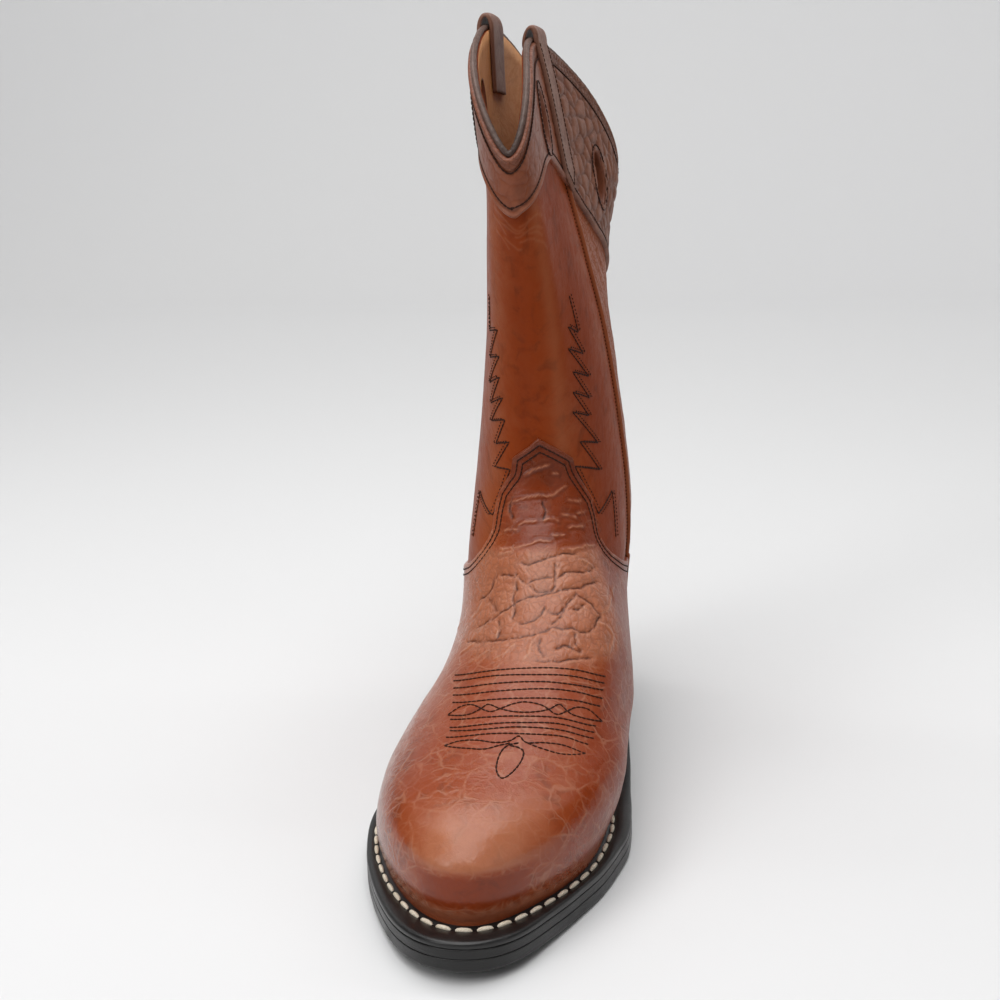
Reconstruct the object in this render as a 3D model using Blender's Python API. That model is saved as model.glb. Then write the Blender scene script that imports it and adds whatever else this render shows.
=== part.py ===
"""Western boot, right foot, standing empty on its sole.

Working sizes are millimetres in the boot's own directions: along runs from the back of the heel to the toe,
across runs from the outer side (negative) to the inner side (positive), height runs up from the floor. The
finished meshes are metres, toe towards -Y, inner side towards +X, with the origin on the floor in the middle
of the boot.
"""

import bmesh
import bpy
import numpy as np

MM = 0.001
MERGE = 0.01  # points closer than this are one
GAP = 0.3  # clearance between two pieces that meet
WALL = 2.2  # shaft leather with its lining
OVERLAY = 1.3  # vamp, counter and collar leather

# Sole unit
HEEL_RISE = 34.0  # underside of the outsole above the floor at the heel seat
TOP_LIFT = 6.0
HEEL_BREAST = 58.0  # front face of the heel, along
TREAD_BACK = 182.0  # the forefoot touches the floor between these two
TREAD_FRONT = 222.0
SOLE_TIP = 294.0
TOE_SPRING = 5.2
OUTSOLE = 5.4
MIDSOLE = 3.5
WELT = 2.6
WELT_END = 92.0  # the welt runs from here around the toe and back
INSOLE = 3.0
EDGE_ROUND = 1.6  # rounding of the outsole's lower edge
HEEL_UNDERCUT = 6.0  # how far the back of the heel runs forward on its way down
HEEL_TAPER = 2.5  # how far each side of the heel draws in on its way down
LAYER_STEP = 0.4  # midsole and heel lie this far inside the outsole's edge
WELT_INSIDE = 3.2  # inner edge of the welt outside the upper's feather line, clear of the vamp


def table(names, rows):
    """Named columns of a table that has a row for each section."""
    return dict(zip(names.split(), np.array(rows, float).T))


# Front of the boot from toe to collar: how far forward it reaches at each height, and the length over which a
# level section rounds from its nose to full width.
FRONT = table("height reach crown", [
    (17, 277, 100),
    (27, 279.5, 100),
    (36, 279, 104),
    (43, 273, 112),
    (48, 262.5, 122),
    (53, 247, 128),
    (60, 227, 122),
    (70, 204, 108),
    (84, 180, 94),
    (100, 158.5, 82),
    (116, 143, 72),
    (135, 133, 66),
    (160, 130, 64),
    (190, 131.5, 62),
    (225, 136.5, 60),
    (260, 142.5, 56),
    (295, 149.5, 50),
    (340, 156.5, 46),
])
# Back of the boot from heel seat to collar.
BACK = table("height reach crown", [
    (43, 5, 30),
    (55, 2, 31),
    (75, 3.5, 32),
    (95, 6.5, 34),
    (120, 8, 38),
    (160, 4, 46),
    (210, -5, 54),
    (260, -13, 54),
    (300, -18, 50),
    (340, -21, 46),
])
# The foot from heel to toe: centre line, how far it leans inward over the instep, half widths of both sides.
FOOT = table("along centre lean medial lateral", [
    (0, 0, 0, 29, 29),
    (30, 0, 0, 31, 31),
    (65, 0.5, 2, 34.5, 32),
    (110, 0, 8, 39, 36.5),
    (150, -2, 13, 42, 42),
    (168, -4, 14.2, 43.3, 44),
    (185, -5, 15, 45.3, 45.3),
    (205, -4.8, 14, 47.8, 46.6),
    (225, -3.6, 10, 47.2, 46.4),
    (245, -2.6, 6, 43.6, 44.4),
    (265, -1.8, 3, 38.4, 41),
    (288, -0.8, 0, 35, 38),
])
# The shaft from heel to collar, pressed flat towards the top: centre line, its twist and bow, half widths.
SHAFT = table("height centre twist bow medial lateral", [
    (40, 0, 0, 0, 31, 31),
    (70, 1, 0, 0, 34, 33.5),
    (95, 2, 0, 0, 36, 36),
    (120, 2.5, 0, 0, 35, 35),
    (150, 2.5, 0, 0, 32, 32),
    (190, 2, -0.01, 0.0003, 26.5, 26.5),
    (230, -0.5, -0.05, 0.0012, 20, 20),
    (265, -4, -0.1, 0.0022, 15, 13.5),
    (300, -8, -0.1, 0.0022, 12.5, 11.5),
    (340, -13, -0.1, 0.0022, 7.5, 7),
])
SHAFT_MIDDLE = 75.0
BULGE_UP = 17.0  # the foot is widest this far above its feather line
TUCK = 3.0  # how far the feather line lies inside that width
LEAN_FROM, LEAN_OVER, LEAN_MOST = 8.0, 52.0, 1.3  # heights over which the centre line leans
MIX_LOW, MIX_HIGH, MIX_OVER = 45.0, 110.0, 45.0  # heights over which the foot turns into the shaft
MIX_FRONT, MIX_BACK = 185.0, 115.0
ANKLE_HEIGHT, ANKLE_SLOPE = 104.0, 0.28
SEAM_SOLE, SEAM_ANKLE, SEAM_RIM = 62.0, 66.0, 76.0  # where the side seams run
EAR_MEDIAL, EAR_LATERAL = 319.0, 325.0
FRONT_DIP, BACK_DIP = 271.0, 262.0
RIM_POINT = 1.4  # how pointed the dips are

# Margin of the sole outside the upper's feather line on both sides.
MARGIN = table("along medial lateral", [
    (0, 2.6, 2.6),
    (58, 3, 3),
    (85, 4.5, 4.5),
    (110, 5.5, 5.5),
    (140, 7.4, 6.6),
    (165, 10.2, 7.2),
    (183, 12.8, 7.6),
    (200, 11.2, 7.8),
    (217, 8, 8.2),
    (235, 6.2, 9),
    (250, 7, 10),
    (265, 10, 11.8),
    (278, 14.8, 14.8),
])

# The level lines and the turns that every soft piece shares, so that the pieces lie parallel. Level 0 is the
# feather line, 1 the ankle, 2 the rim. A turn is a 64th of the way around: 0 the front, 16 the inner side
# seam, 32 the back, 48 the outer side seam. The columns stand closer together at the ball of the foot.
LEVELS = np.array([
    0, 0.07, 0.13, 0.18, 0.225, 0.28, 0.36, 0.46, 0.59, 0.77,
    1, 1.16, 1.34, 1.54, 1.73, 1.87, 2,
])
TURNS = 64
SEAM_TURN = 16
COLUMN_CROWD = 0.35

# Upper edge of the vamp with its tongue on the shaft, and of the heel counter: level by turn.
VAMP_EDGE = table("turn level", [
    (-16, 0.68),
    (-12, 0.72),
    (-8.4, 0.75),
    (-7.4, 0.83),
    (-5.7, 0.97),
    (-4.2, 1.055),
    (-2.6, 1.09),
    (-2.2, 1.16),
    (1.1, 1.222),
    (4.9, 1.155),
    (5.3, 1.085),
    (6.9, 1.055),
    (9.1, 0.975),
    (11.5, 0.825),
    (14, 0.7),
    (16, 0.67),
])
TONGUE_COLUMNS = (-2.2, 5.3)  # extra columns at the steps of the tongue
COUNTER_EDGE = table("turn level", [
    (16, 0.67),
    (24, 0.88),
    (32, 1.1),
    (40, 0.88),
    (48, 0.68),
])
# Lower edge of the collar overlays: a point at front and back, high at the side seams.
COLLAR_EDGE = table("turn level", [
    (-16, 1.74),
    (-10, 1.8),
    (-5, 1.815),
    (1.1, 1.84),
    (6, 1.81),
    (10.5, 1.8),
    (16, 1.71),
    (20.5, 1.65),
    (26, 1.65),
    (32, 1.7),
    (38, 1.65),
    (43.5, 1.67),
    (48, 1.74),
])
OVERLAY_STOP = 0.12  # overlays end this many turns short of a side seam
OVERLAY_FOOT = 0.02  # level at which vamp and counter start, clear of the sole

# Pull holes: turn and level of the middle; the same on both sides.
PULL_HOLES = table("turn level", [(11.3, 1.875), (22.2, 1.8)])
HOLE_WIDE, HOLE_TALL = 12.0, 25.0
HOLE_POINTS = 20
HOLE_REACH = 9.0  # the cutter runs this far to both sides of the wall

# Pull straps
STRAP_THICK = 1.6
STRAP_FRONT, STRAP_BACK = 1.3, 0.98  # turns to both sides of the seam: 17 mm in all
STRAP_TIP = 1.70  # level of its pointed lower end outside
STRAP_POINT = 0.04  # how far the corners of that end lie above its tip
STRAP_INSIDE = 1.84  # level of its lower end inside
STRAP_LOOP = 8.5  # height of the loop over the rim
ROW_APART = 0.02
LOOP_STEPS = 6
BEAD_RADIUS = 1.85
BEAD_CLEAR = 0.5  # between the rim and the bead, which bends around its points
BEAD_SIDES = 6


def smooth(rows, key, name, at):
    """A column of a table at any place between its rows, on a curve that never overshoots."""
    x, y = rows[key], rows[name]
    step = np.diff(x)
    rise = np.diff(y) / step
    slope = np.concatenate([rise[:1], np.zeros(len(rise) - 1), rise[-1:]])
    same = rise[:-1] * rise[1:] > 0
    near, far = step[:-1], step[1:]
    before = np.where(same, rise[:-1], 1.0)
    after = np.where(same, rise[1:], 1.0)
    mean = 3 * (near + far) / ((2 * far + near) / before + (far + 2 * near) / after)
    slope[1:-1] = np.where(same, mean, 0.0)
    at = np.clip(np.asarray(at, float), x[0], x[-1])
    i = np.clip(np.searchsorted(x, at) - 1, 0, len(step) - 1)
    u = (at - x[i]) / step[i]
    ends_part = y[i] * (1 + 2 * u) * (1 - u) ** 2 + y[i + 1] * u * u * (3 - 2 * u)
    return ends_part + step[i] * u * (1 - u) * (slope[i] * (1 - u) - slope[i + 1] * u)


def ease(u):
    u = np.clip(u, 0.0, 1.0)
    return u * u * (3 - 2 * u)


def sole_under(along):
    """Underside of the outsole: level under the heel seat, curved waist, flat tread, toe spring."""
    waist = HEEL_RISE * (1 - ease((along - HEEL_BREAST) / (TREAD_BACK - HEEL_BREAST)))
    toe = np.clip((along - TREAD_FRONT) / (SOLE_TIP - TREAD_FRONT), 0, None)
    return waist + TOE_SPRING * toe ** 2


def seat(along):
    """Height of the feather line, where the upper stands on the sole."""
    return sole_under(along) + OUTSOLE + MIDSOLE + 2 * GAP


def shaft_share(along, height):
    """How far a place takes its width from the shaft and not from the foot."""
    low = ease((height - MIX_LOW) / (MIX_HIGH - MIX_LOW))
    low = low * ease((MIX_FRONT - along) / (MIX_FRONT - MIX_BACK))
    return 1 - (1 - low) * (1 - ease((height - MIX_HIGH) / MIX_OVER))


def half_width(along, height, side):
    """Half the width of the upper from its centre line, on one side."""
    share = shaft_share(along, height)
    full = smooth(FOOT, "along", side, along) * (1 - share)
    full = full + smooth(SHAFT, "height", side, height) * share
    low = np.clip(1 - (height - seat(along)) / BULGE_UP, 0, 1)
    ahead = (smooth(FRONT, "height", "reach", height) - along) / smooth(FRONT, "height", "crown", height)
    behind = (along - smooth(BACK, "height", "reach", height)) / smooth(BACK, "height", "crown", height)
    nose = np.sqrt(1 - (1 - np.clip(ahead, 0, 1)) ** 2)
    heel = np.sqrt(1 - (1 - np.clip(behind, 0, 1)) ** 2)
    return (full - TUCK * low ** 2) * nose * heel


def centre(along, height):
    """Where the centre line runs across the boot."""
    share = shaft_share(along, height)
    up = np.clip((height - seat(along) - LEAN_FROM) / LEAN_OVER, 0, LEAN_MOST)
    foot = smooth(FOOT, "along", "centre", along) + smooth(FOOT, "along", "lean", along) * up
    off = along - SHAFT_MIDDLE
    shaft = smooth(SHAFT, "height", "centre", height) + smooth(SHAFT, "height", "twist", height) * off
    shaft = shaft + smooth(SHAFT, "height", "bow", height) * off ** 2
    return foot * (1 - share) + shaft * share


def rim(turn):
    """Height of the rim: a pointed dip at front and back, an ear at each side seam."""
    turn = turn % 1.0
    ear = np.where(turn <= 0.5, EAR_MEDIAL, EAR_LATERAL)
    quarter = np.minimum(turn, 1 - turn) * 4
    dip = np.where(quarter <= 1, FRONT_DIP, BACK_DIP)
    up = np.minimum(quarter, 2 - quarter)
    return dip + (ear - dip) * np.sin(up ** RIM_POINT * np.pi / 2)


def level_height(turn, along, level):
    """Height of a level line: 0 the feather line, 1 the ankle, 2 the rim."""
    low = seat(along)
    ankle = ANKLE_HEIGHT + ANKLE_SLOPE * (along - SEAM_ANKLE)
    foot = low + np.clip(level, 0, 1) * (ankle - low)
    return foot + np.clip(level - 1, 0, 1) * (rim(turn) - ankle)


def level_ends(level):
    """Where a level line meets the front and the back of the boot, found by halving."""
    found = []
    for turn, profile, outer, inner in ((0.0, FRONT, 300.0, 60.0), (0.5, BACK, -60.0, 60.0)):
        outer = np.full(level.shape, outer)
        inner = np.full(level.shape, inner)
        for _ in range(45):
            middle = (outer + inner) / 2
            reach = smooth(profile, "height", "reach", level_height(turn + 0 * level, middle, level))
            within = (reach - middle) * (outer - inner) > 0
            inner = np.where(within, middle, inner)
            outer = np.where(within, outer, middle)
        found.append(inner)
    return found


def outer_face(turn, level):
    """A place on the upper's outer face: (along, across, height)."""
    turn, level = np.broadcast_arrays(turn % 1.0, level)
    front, back = level_ends(level)
    foot = SEAM_SOLE + (SEAM_ANKLE - SEAM_SOLE) * ease(level)
    middle = foot + (SEAM_RIM - SEAM_ANKLE) * ease(level - 1)
    swing = np.cos(turn * 2 * np.pi)
    along = middle + np.where(swing > 0, front - middle, middle - back) * swing
    height = level_height(turn, along, level)
    medial = centre(along, height) + half_width(along, height, "medial")
    lateral = centre(along, height) - half_width(along, height, "lateral")
    return np.stack([along, np.where(turn <= 0.5, medial, lateral), height], -1)


def outward(turn, level):
    """Unit normals of the outer face."""
    small = 1e-3
    around = outer_face(turn + small, level) - outer_face(turn - small, level)
    up = outer_face(turn, np.minimum(level + small, 2)) - outer_face(turn, np.maximum(level - small, 0))
    normal = np.cross(around, up)
    return normal / np.linalg.norm(normal, axis=-1, keepdims=True)


def column_turns():
    """Turns of the grid columns, the same in each quarter."""
    quarter = np.arange(SEAM_TURN) / SEAM_TURN
    quarter = quarter + COLUMN_CROWD * np.sin(2 * np.pi * quarter) / (2 * np.pi)
    return np.concatenate([(start + quarter) * SEAM_TURN for start in range(4)])


COLUMNS = column_turns()
GRID_LEVEL, GRID_TURN = np.meshgrid(LEVELS, COLUMNS / TURNS, indexing="ij")
SKIN = outer_face(GRID_TURN, GRID_LEVEL)
NORMAL = outward(GRID_TURN, GRID_LEVEL)


def on_skin(turn, level, off):
    """Places over the upper's own facets, a distance outside its outer face."""
    turn, level, off = np.broadcast_arrays(turn, level, off)
    place_in_row = np.interp(turn % TURNS, np.append(COLUMNS, TURNS), np.arange(TURNS + 1))
    column = np.floor(place_in_row).astype(int)
    row = np.clip(np.searchsorted(LEVELS, level, side="right") - 1, 0, len(LEVELS) - 2)
    u = (place_in_row - column)[..., None]
    v = ((level - LEVELS[row]) / (LEVELS[row + 1] - LEVELS[row]))[..., None]
    total = 0
    for down, weight_v in ((0, 1 - v), (1, v)):
        for right, weight_u in ((0, 1 - u), (1, u)):
            at = (row + down, (column + right) % TURNS)
            total = total + weight_v * weight_u * (SKIN[at] + NORMAL[at] * off[..., None])
    return total


def place(points):
    """From the boot's own directions in millimetres to the model's axes in metres."""
    points = np.asarray(points, float).reshape(-1, 3)
    return np.stack([points[:, 1], -points[:, 0], points[:, 2]], -1) * MM


def material(name, colour, roughness):
    made = bpy.data.materials.new(name)
    made.use_nodes = True
    shader = made.node_tree.nodes["Principled BSDF"]
    shader.inputs["Base Color"].default_value = colour + (1.0,)
    shader.inputs["Roughness"].default_value = roughness
    return made


def solid(name, points, faces, look):
    """One closed mesh with its material."""
    mesh = bpy.data.meshes.new(name)
    mesh.from_pydata([tuple(p) for p in place(points)], [], faces)
    body = bmesh.new()
    body.from_mesh(mesh)
    bmesh.ops.remove_doubles(body, verts=body.verts, dist=MERGE * MM)
    bmesh.ops.dissolve_degenerate(body, edges=body.edges, dist=MERGE * MM / 2)
    bmesh.ops.triangulate(body, faces=body.faces)
    bmesh.ops.recalc_face_normals(body, faces=body.faces)
    body.to_mesh(mesh)
    body.free()
    mesh.materials.append(look)
    made = bpy.data.objects.new(name, mesh)
    bpy.context.scene.collection.objects.link(made)
    return made


def box_faces(rows, columns, around=False):
    """Faces of a plate from two grids of points, the near one first, with its edges closed."""
    count = rows * columns
    last = columns if around else columns - 1
    faces = []
    for i in range(rows - 1):
        for j in range(last):
            k = (j + 1) % columns
            a, b = i * columns + j, i * columns + k
            c, d = b + columns, a + columns
            faces.append((d, c, b, a))
            faces.append((a + count, b + count, c + count, d + count))
    for j in range(last):
        k = (j + 1) % columns
        top = (rows - 1) * columns
        faces.append((j, k, k + count, j + count))
        faces.append((top + k, top + j, top + j + count, top + k + count))
    if not around:
        for i in range(rows - 1):
            for j, turned in ((0, False), (columns - 1, True)):
                a, d = i * columns + j, (i + 1) * columns + j
                face = (a, a + count, d + count, d)
                faces.append(face[::-1] if turned else face)
    return faces


def ring_stack(rings):
    """Faces of a body from stacked rings that run front, inner side, back, outer side, closed by ladders."""
    size = len(rings[0])
    faces = []
    for r in range(len(rings) - 1):
        for j in range(size):
            k = (j + 1) % size
            faces.append((r * size + j, r * size + k, (r + 1) * size + k, (r + 1) * size + j))
    for start, flip in ((0, True), ((len(rings) - 1) * size, False)):
        for j in range(size // 2):
            face = [start + j, start + j + 1, start + size - 1 - j, start + (size - j) % size]
            face = list(dict.fromkeys(face))
            if len(face) > 2:
                faces.append(face[::-1] if flip else face)
    return np.concatenate(rings), faces


def feather_ring(off):
    """The feather line seen from above, moved outward across the sole by a distance for each turn."""
    line = SKIN[0]
    ahead = np.roll(line, -1, 0) - np.roll(line, 1, 0)
    side = np.stack([-ahead[:, 1], ahead[:, 0], 0 * ahead[:, 0]], -1)
    side = -side / np.linalg.norm(side, axis=1, keepdims=True)
    return line + side * np.broadcast_to(off, len(line))[:, None]


def at_height(ring, heights):
    ring = ring.copy()
    ring[:, 2] = heights(ring[:, 0])
    return ring


def sole_ring(inset, up):
    """The sole's outline at a height above the outsole's underside."""
    reach = SKIN[0][:, 0]
    medial, lateral = (smooth(MARGIN, "along", side, reach) for side in ("medial", "lateral"))
    margin = np.where(COLUMNS <= TURNS / 2, medial, lateral)
    return at_height(feather_ring(margin - inset), lambda along: sole_under(along) + up)


def make_upper(look):
    near = SKIN - NORMAL * WALL
    faces = box_faces(len(LEVELS), TURNS, around=True)
    return solid("upper", np.concatenate([near.reshape(-1, 3), SKIN.reshape(-1, 3)]), faces, look)


def make_insole(look):
    inside = feather_ring(-(WALL + 2 * GAP))
    low = at_height(inside, seat)
    high = at_height(inside, lambda along: seat(along) + INSOLE)
    return solid("insole", *ring_stack([low, high]), look)


def make_midsole(look):
    base = OUTSOLE + GAP
    rings = [sole_ring(LAYER_STEP, base), sole_ring(LAYER_STEP, base + MIDSOLE)]
    return solid("midsole", *ring_stack(rings), look)


def make_outsole(look):
    rings = [sole_ring(EDGE_ROUND, 0), sole_ring(0, EDGE_ROUND), sole_ring(0, OUTSOLE)]
    return solid("outsole", *ring_stack(rings), look)


def make_welt(look):
    """A flat strip on the midsole around the forefoot, between the vamp and the sole's edge."""
    behind = TURNS // 2
    rows = []
    for ring in (feather_ring(WELT_INSIDE), sole_ring(0, 0)):
        for up in (0, WELT):
            line = at_height(ring, lambda along: seat(along) + up)
            rows.append(np.roll(line, behind, 0))
    kept = np.roll(SKIN[0][:, 0], behind) >= WELT_END
    inner_low, inner_high, outer_low, outer_high = [row[kept] for row in rows]
    near = np.stack([inner_low, outer_low], 1)
    far = np.stack([inner_high, outer_high], 1)
    points = np.concatenate([near.reshape(-1, 3), far.reshape(-1, 3)])
    return solid("welt", points, box_faces(len(near), 2), look)


def heel_ring(height):
    """Outline of the heel at a height: the back of the sole's outline, drawn in on the way down."""
    ring = sole_ring(LAYER_STEP, 0)
    kept = ring[ring[:, 0] <= HEEL_BREAST]
    down = 1 - height / HEEL_RISE
    share = np.clip(1 - kept[:, 0] / HEEL_BREAST, 0, 1)
    kept = kept.copy()
    kept[:, 0] += HEEL_UNDERCUT * down * share
    kept[:, 1] -= np.sign(kept[:, 1]) * np.minimum(HEEL_TAPER * down, np.abs(kept[:, 1]))
    breast = [np.array([[HEEL_BREAST, side[1], 0]]) for side in (kept[0], kept[-1])]
    ring = np.concatenate([breast[0], kept, breast[1]])
    ring[:, 2] = height
    return ring


def heel_block(name, low, high, look):
    rings = [heel_ring(low), heel_ring(high)]
    size = len(rings[0])
    points = np.concatenate(rings)
    faces = [tuple(range(size))[::-1], tuple(range(size, 2 * size))]
    for j in range(size):
        k = (j + 1) % size
        faces.append((j, k, size + k, size + j))
    return solid(name, points, faces, look)


def overlay(name, columns, low, high, look):
    """A leather piece over the upper between two edges, each a level for every column."""
    levels = np.clip(LEVELS[:, None], low[None, :], high[None, :])
    turns = np.broadcast_to(columns, levels.shape)
    near = on_skin(turns, levels, GAP)
    far = on_skin(turns, levels, GAP + OVERLAY)
    points = np.concatenate([near.reshape(-1, 3), far.reshape(-1, 3)])
    return solid(name, points, box_faces(len(LEVELS), len(columns)), look)


def half_columns(middle, extra=()):
    """Columns of the half of the boot around a turn, ended short of the side seams."""
    columns = np.concatenate([COLUMNS - TURNS, COLUMNS])
    stop = SEAM_TURN - OVERLAY_STOP
    columns = columns[np.abs(columns - middle) < stop]
    return np.sort(np.concatenate([columns, extra, [middle - stop, middle + stop]]))


def make_strap(name, seam, front_sign, look):
    """A pull strap: up the outside over the seam, over the rim in a loop, and down the lining."""
    columns = seam + front_sign * np.array([-STRAP_FRONT, 0.0, STRAP_BACK])
    corner = STRAP_TIP + STRAP_POINT
    outside = [np.array([corner, STRAP_TIP, corner])] + [v for v in LEVELS if v > corner + ROW_APART]
    inside = [v for v in LEVELS[::-1] if v > STRAP_INSIDE + ROW_APART] + [STRAP_INSIDE]
    faces_off = []
    for out_off, in_off, extra in (
        (2 * GAP + OVERLAY, -WALL - GAP, 0.0),
        (2 * GAP + OVERLAY + STRAP_THICK, -WALL - GAP - STRAP_THICK, STRAP_THICK),
    ):
        rows = [on_skin(columns, v, out_off) for v in outside]
        first = on_skin(columns, outside[-1], out_off)
        last = on_skin(columns, inside[0], in_off)
        for step in range(1, LOOP_STEPS):
            bend = np.pi * step / LOOP_STEPS
            point = (first + last) / 2 + (first - last) / 2 * np.cos(bend)
            point[:, 2] += (STRAP_LOOP + extra) * np.sin(bend)
            rows.append(point)
        rows += [on_skin(columns, v, in_off) for v in inside]
        faces_off.append(np.array(rows))
    points = np.concatenate([face.reshape(-1, 3) for face in faces_off])
    return solid(name, points, box_faces(len(faces_off[0]), len(columns)), look)


def make_bead(look):
    """The rounded binding along the rim."""
    top = len(LEVELS) - 1
    across = NORMAL[top].copy()
    across[:, 2] = 0
    across /= np.linalg.norm(across, axis=1, keepdims=True)
    middle = SKIN[top] + NORMAL[top] * ((GAP + OVERLAY - WALL) / 2)
    middle[:, 2] += BEAD_CLEAR + BEAD_RADIUS
    rings = []
    for side in range(BEAD_SIDES):
        bend = 2 * np.pi * side / BEAD_SIDES
        ring = middle + across * (BEAD_RADIUS * np.cos(bend))
        ring[:, 2] += BEAD_RADIUS * np.sin(bend)
        rings.append(ring)
    points = np.concatenate(rings)
    faces = []
    for side in range(BEAD_SIDES):
        above = (side + 1) % BEAD_SIDES
        for j in range(TURNS):
            k = (j + 1) % TURNS
            faces.append((side * TURNS + j, side * TURNS + k, above * TURNS + k, above * TURNS + j))
    return solid("collar_bead", points, faces, look)


def hole_cutter(name, turn, level, look):
    """A tall oval prism through the wall and its overlays."""
    at = on_skin(turn, level, 0.0)
    out = on_skin(turn, level, 1.0) - at
    out[2] = 0
    out /= np.linalg.norm(out)
    across = np.array([-out[1], out[0], 0.0])
    up = np.array([0.0, 0.0, 1.0])
    rings = []
    for reach in (-HOLE_REACH, HOLE_REACH):
        for step in range(HOLE_POINTS):
            bend = 2 * np.pi * step / HOLE_POINTS
            oval = across * (HOLE_WIDE * np.cos(bend)) + up * (HOLE_TALL * np.sin(bend))
            rings.append(at + out * reach + oval / 2)
    faces = [tuple(range(HOLE_POINTS))[::-1], tuple(range(HOLE_POINTS, 2 * HOLE_POINTS))]
    for j in range(HOLE_POINTS):
        k = (j + 1) % HOLE_POINTS
        faces.append((j, k, HOLE_POINTS + k, HOLE_POINTS + j))
    cutter = solid(name, np.array(rings), faces, look)
    cutter.hide_render = True
    cutter.display_type = "WIRE"
    return cutter


def cut(body, cutter):
    modifier = body.modifiers.new(cutter.name, "BOOLEAN")
    modifier.operation = "DIFFERENCE"
    modifier.solver = "EXACT"
    modifier.object = cutter


def stand_on_origin(pieces):
    """Hang every piece on an empty that brings the middle of the boot's footprint to the origin."""
    corners = np.array([v.co for piece in pieces if not piece.hide_render for v in piece.data.vertices])
    middle = (corners.min(0) + corners.max(0)) / 2
    carrier = bpy.data.objects.new("boot", None)
    bpy.context.scene.collection.objects.link(carrier)
    carrier.location = (-middle[0], -middle[1], -corners[:, 2].min())
    for piece in pieces:
        piece.parent = carrier


def main():
    for old in list(bpy.data.objects):
        bpy.data.objects.remove(old)
    brown = material("shaft_leather", (0.23, 0.085, 0.035), 0.4)
    upper = make_upper(brown)
    make_insole(material("insole_board", (0.55, 0.4, 0.22), 0.7))
    make_midsole(material("midsole_black", (0.02, 0.019, 0.018), 0.5))
    make_outsole(material("outsole_black", (0.018, 0.017, 0.017), 0.45))
    make_welt(material("welt_black", (0.022, 0.02, 0.02), 0.45))
    heel_block("top_lift", 0.0, TOP_LIFT, material("lift_rubber", (0.015, 0.015, 0.015), 0.7))
    heel_block("heel", TOP_LIFT + GAP, HEEL_RISE - GAP, material("heel_black", (0.02, 0.018, 0.017), 0.45))

    front = half_columns(0)
    toe = half_columns(0, TONGUE_COLUMNS)
    back = half_columns(2 * SEAM_TURN)
    vamp_look = material("vamp_leather", (0.25, 0.085, 0.03), 0.38)
    counter_look = material("counter_leather", (0.24, 0.08, 0.03), 0.4)
    vamp_edge = smooth(VAMP_EDGE, "turn", "level", toe)
    counter_edge = smooth(COUNTER_EDGE, "turn", "level", back)
    overlay("vamp", toe, 0 * toe + OVERLAY_FOOT, vamp_edge, vamp_look)
    overlay("counter", back, 0 * back + OVERLAY_FOOT, counter_edge, counter_look)
    collars = []
    for name, columns, colour in (
        ("collar_front", front, (0.21, 0.085, 0.04)),
        ("collar_back", back, (0.2, 0.08, 0.038)),
    ):
        look = material(name + "_leather", colour, 0.45)
        edge = smooth(COLLAR_EDGE, "turn", "level", columns)
        collars.append(overlay(name, columns, edge, 0 * columns + 2, look))
    for name, seam, front_sign in (
        ("pull_strap_medial", SEAM_TURN, 1),
        ("pull_strap_lateral", 3 * SEAM_TURN, -1),
    ):
        make_strap(name, seam, front_sign, material(name + "_leather", (0.15, 0.06, 0.03), 0.5))
    make_bead(material("bead_leather", (0.12, 0.09, 0.075), 0.5))

    for row, (turn, level) in enumerate(zip(PULL_HOLES["turn"], PULL_HOLES["level"])):
        for side, at in (("medial", turn), ("lateral", TURNS - turn)):
            cutter = hole_cutter(f"pull_hole_{side}_{row}", at, level, brown)
            cut(upper, cutter)
            cut(collars[row], cutter)
    stand_on_origin(list(bpy.data.objects))


main()
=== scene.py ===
"""Western boot, right foot: leathers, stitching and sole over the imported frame.

Working sizes are millimetres in the boot's own directions: along runs from the back of the heel to the toe,
across runs from the outer side (negative) to the inner side (positive), height runs up from the floor.
A turn is a 64th of the way around the upper: 0 the front, 16 the inner side seam, 32 the back, 48 or -16 the
outer side seam. A level runs up the upper: 0 the feather line, 1 the ankle, 2 the rim.
"""

import bpy
import numpy as np
from mathutils import Matrix, Vector
from mathutils.kdtree import KDTree


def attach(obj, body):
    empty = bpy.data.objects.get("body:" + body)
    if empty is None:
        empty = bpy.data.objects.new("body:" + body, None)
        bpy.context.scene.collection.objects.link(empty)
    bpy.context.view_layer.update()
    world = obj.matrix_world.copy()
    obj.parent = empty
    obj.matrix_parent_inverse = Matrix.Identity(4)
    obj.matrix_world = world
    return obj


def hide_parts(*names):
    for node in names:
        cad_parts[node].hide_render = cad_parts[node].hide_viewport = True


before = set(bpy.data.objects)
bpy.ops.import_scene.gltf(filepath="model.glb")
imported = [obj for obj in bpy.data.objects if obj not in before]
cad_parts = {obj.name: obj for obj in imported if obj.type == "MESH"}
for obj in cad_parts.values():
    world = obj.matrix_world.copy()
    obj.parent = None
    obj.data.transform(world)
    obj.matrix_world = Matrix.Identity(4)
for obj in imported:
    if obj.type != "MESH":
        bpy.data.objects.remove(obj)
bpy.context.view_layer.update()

# ---------------------------------------------------------------- shape of the boot, as in the frame
MM = 0.001
MIDDLE = (138.2795, -2.4928)  # along and across of the frame's origin
GAP, WALL, OVERLAY = 0.3, 2.2, 1.3
FACE = GAP + OVERLAY  # outer face of an overlay above the upper
HEEL_RISE, TOP_LIFT, HEEL_BREAST = 34.0, 6.0, 58.0
TREAD_BACK, TREAD_FRONT = 182.0, 222.0
SOLE_TIP, TOE_SPRING = 294.0, 5.2
OUTSOLE, MIDSOLE, WELT, WELT_END = 5.4, 3.5, 2.6, 92.0
EDGE_ROUND, HEEL_UNDERCUT, HEEL_TAPER, LAYER_STEP = 1.6, 6.0, 2.5, 0.4
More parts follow.
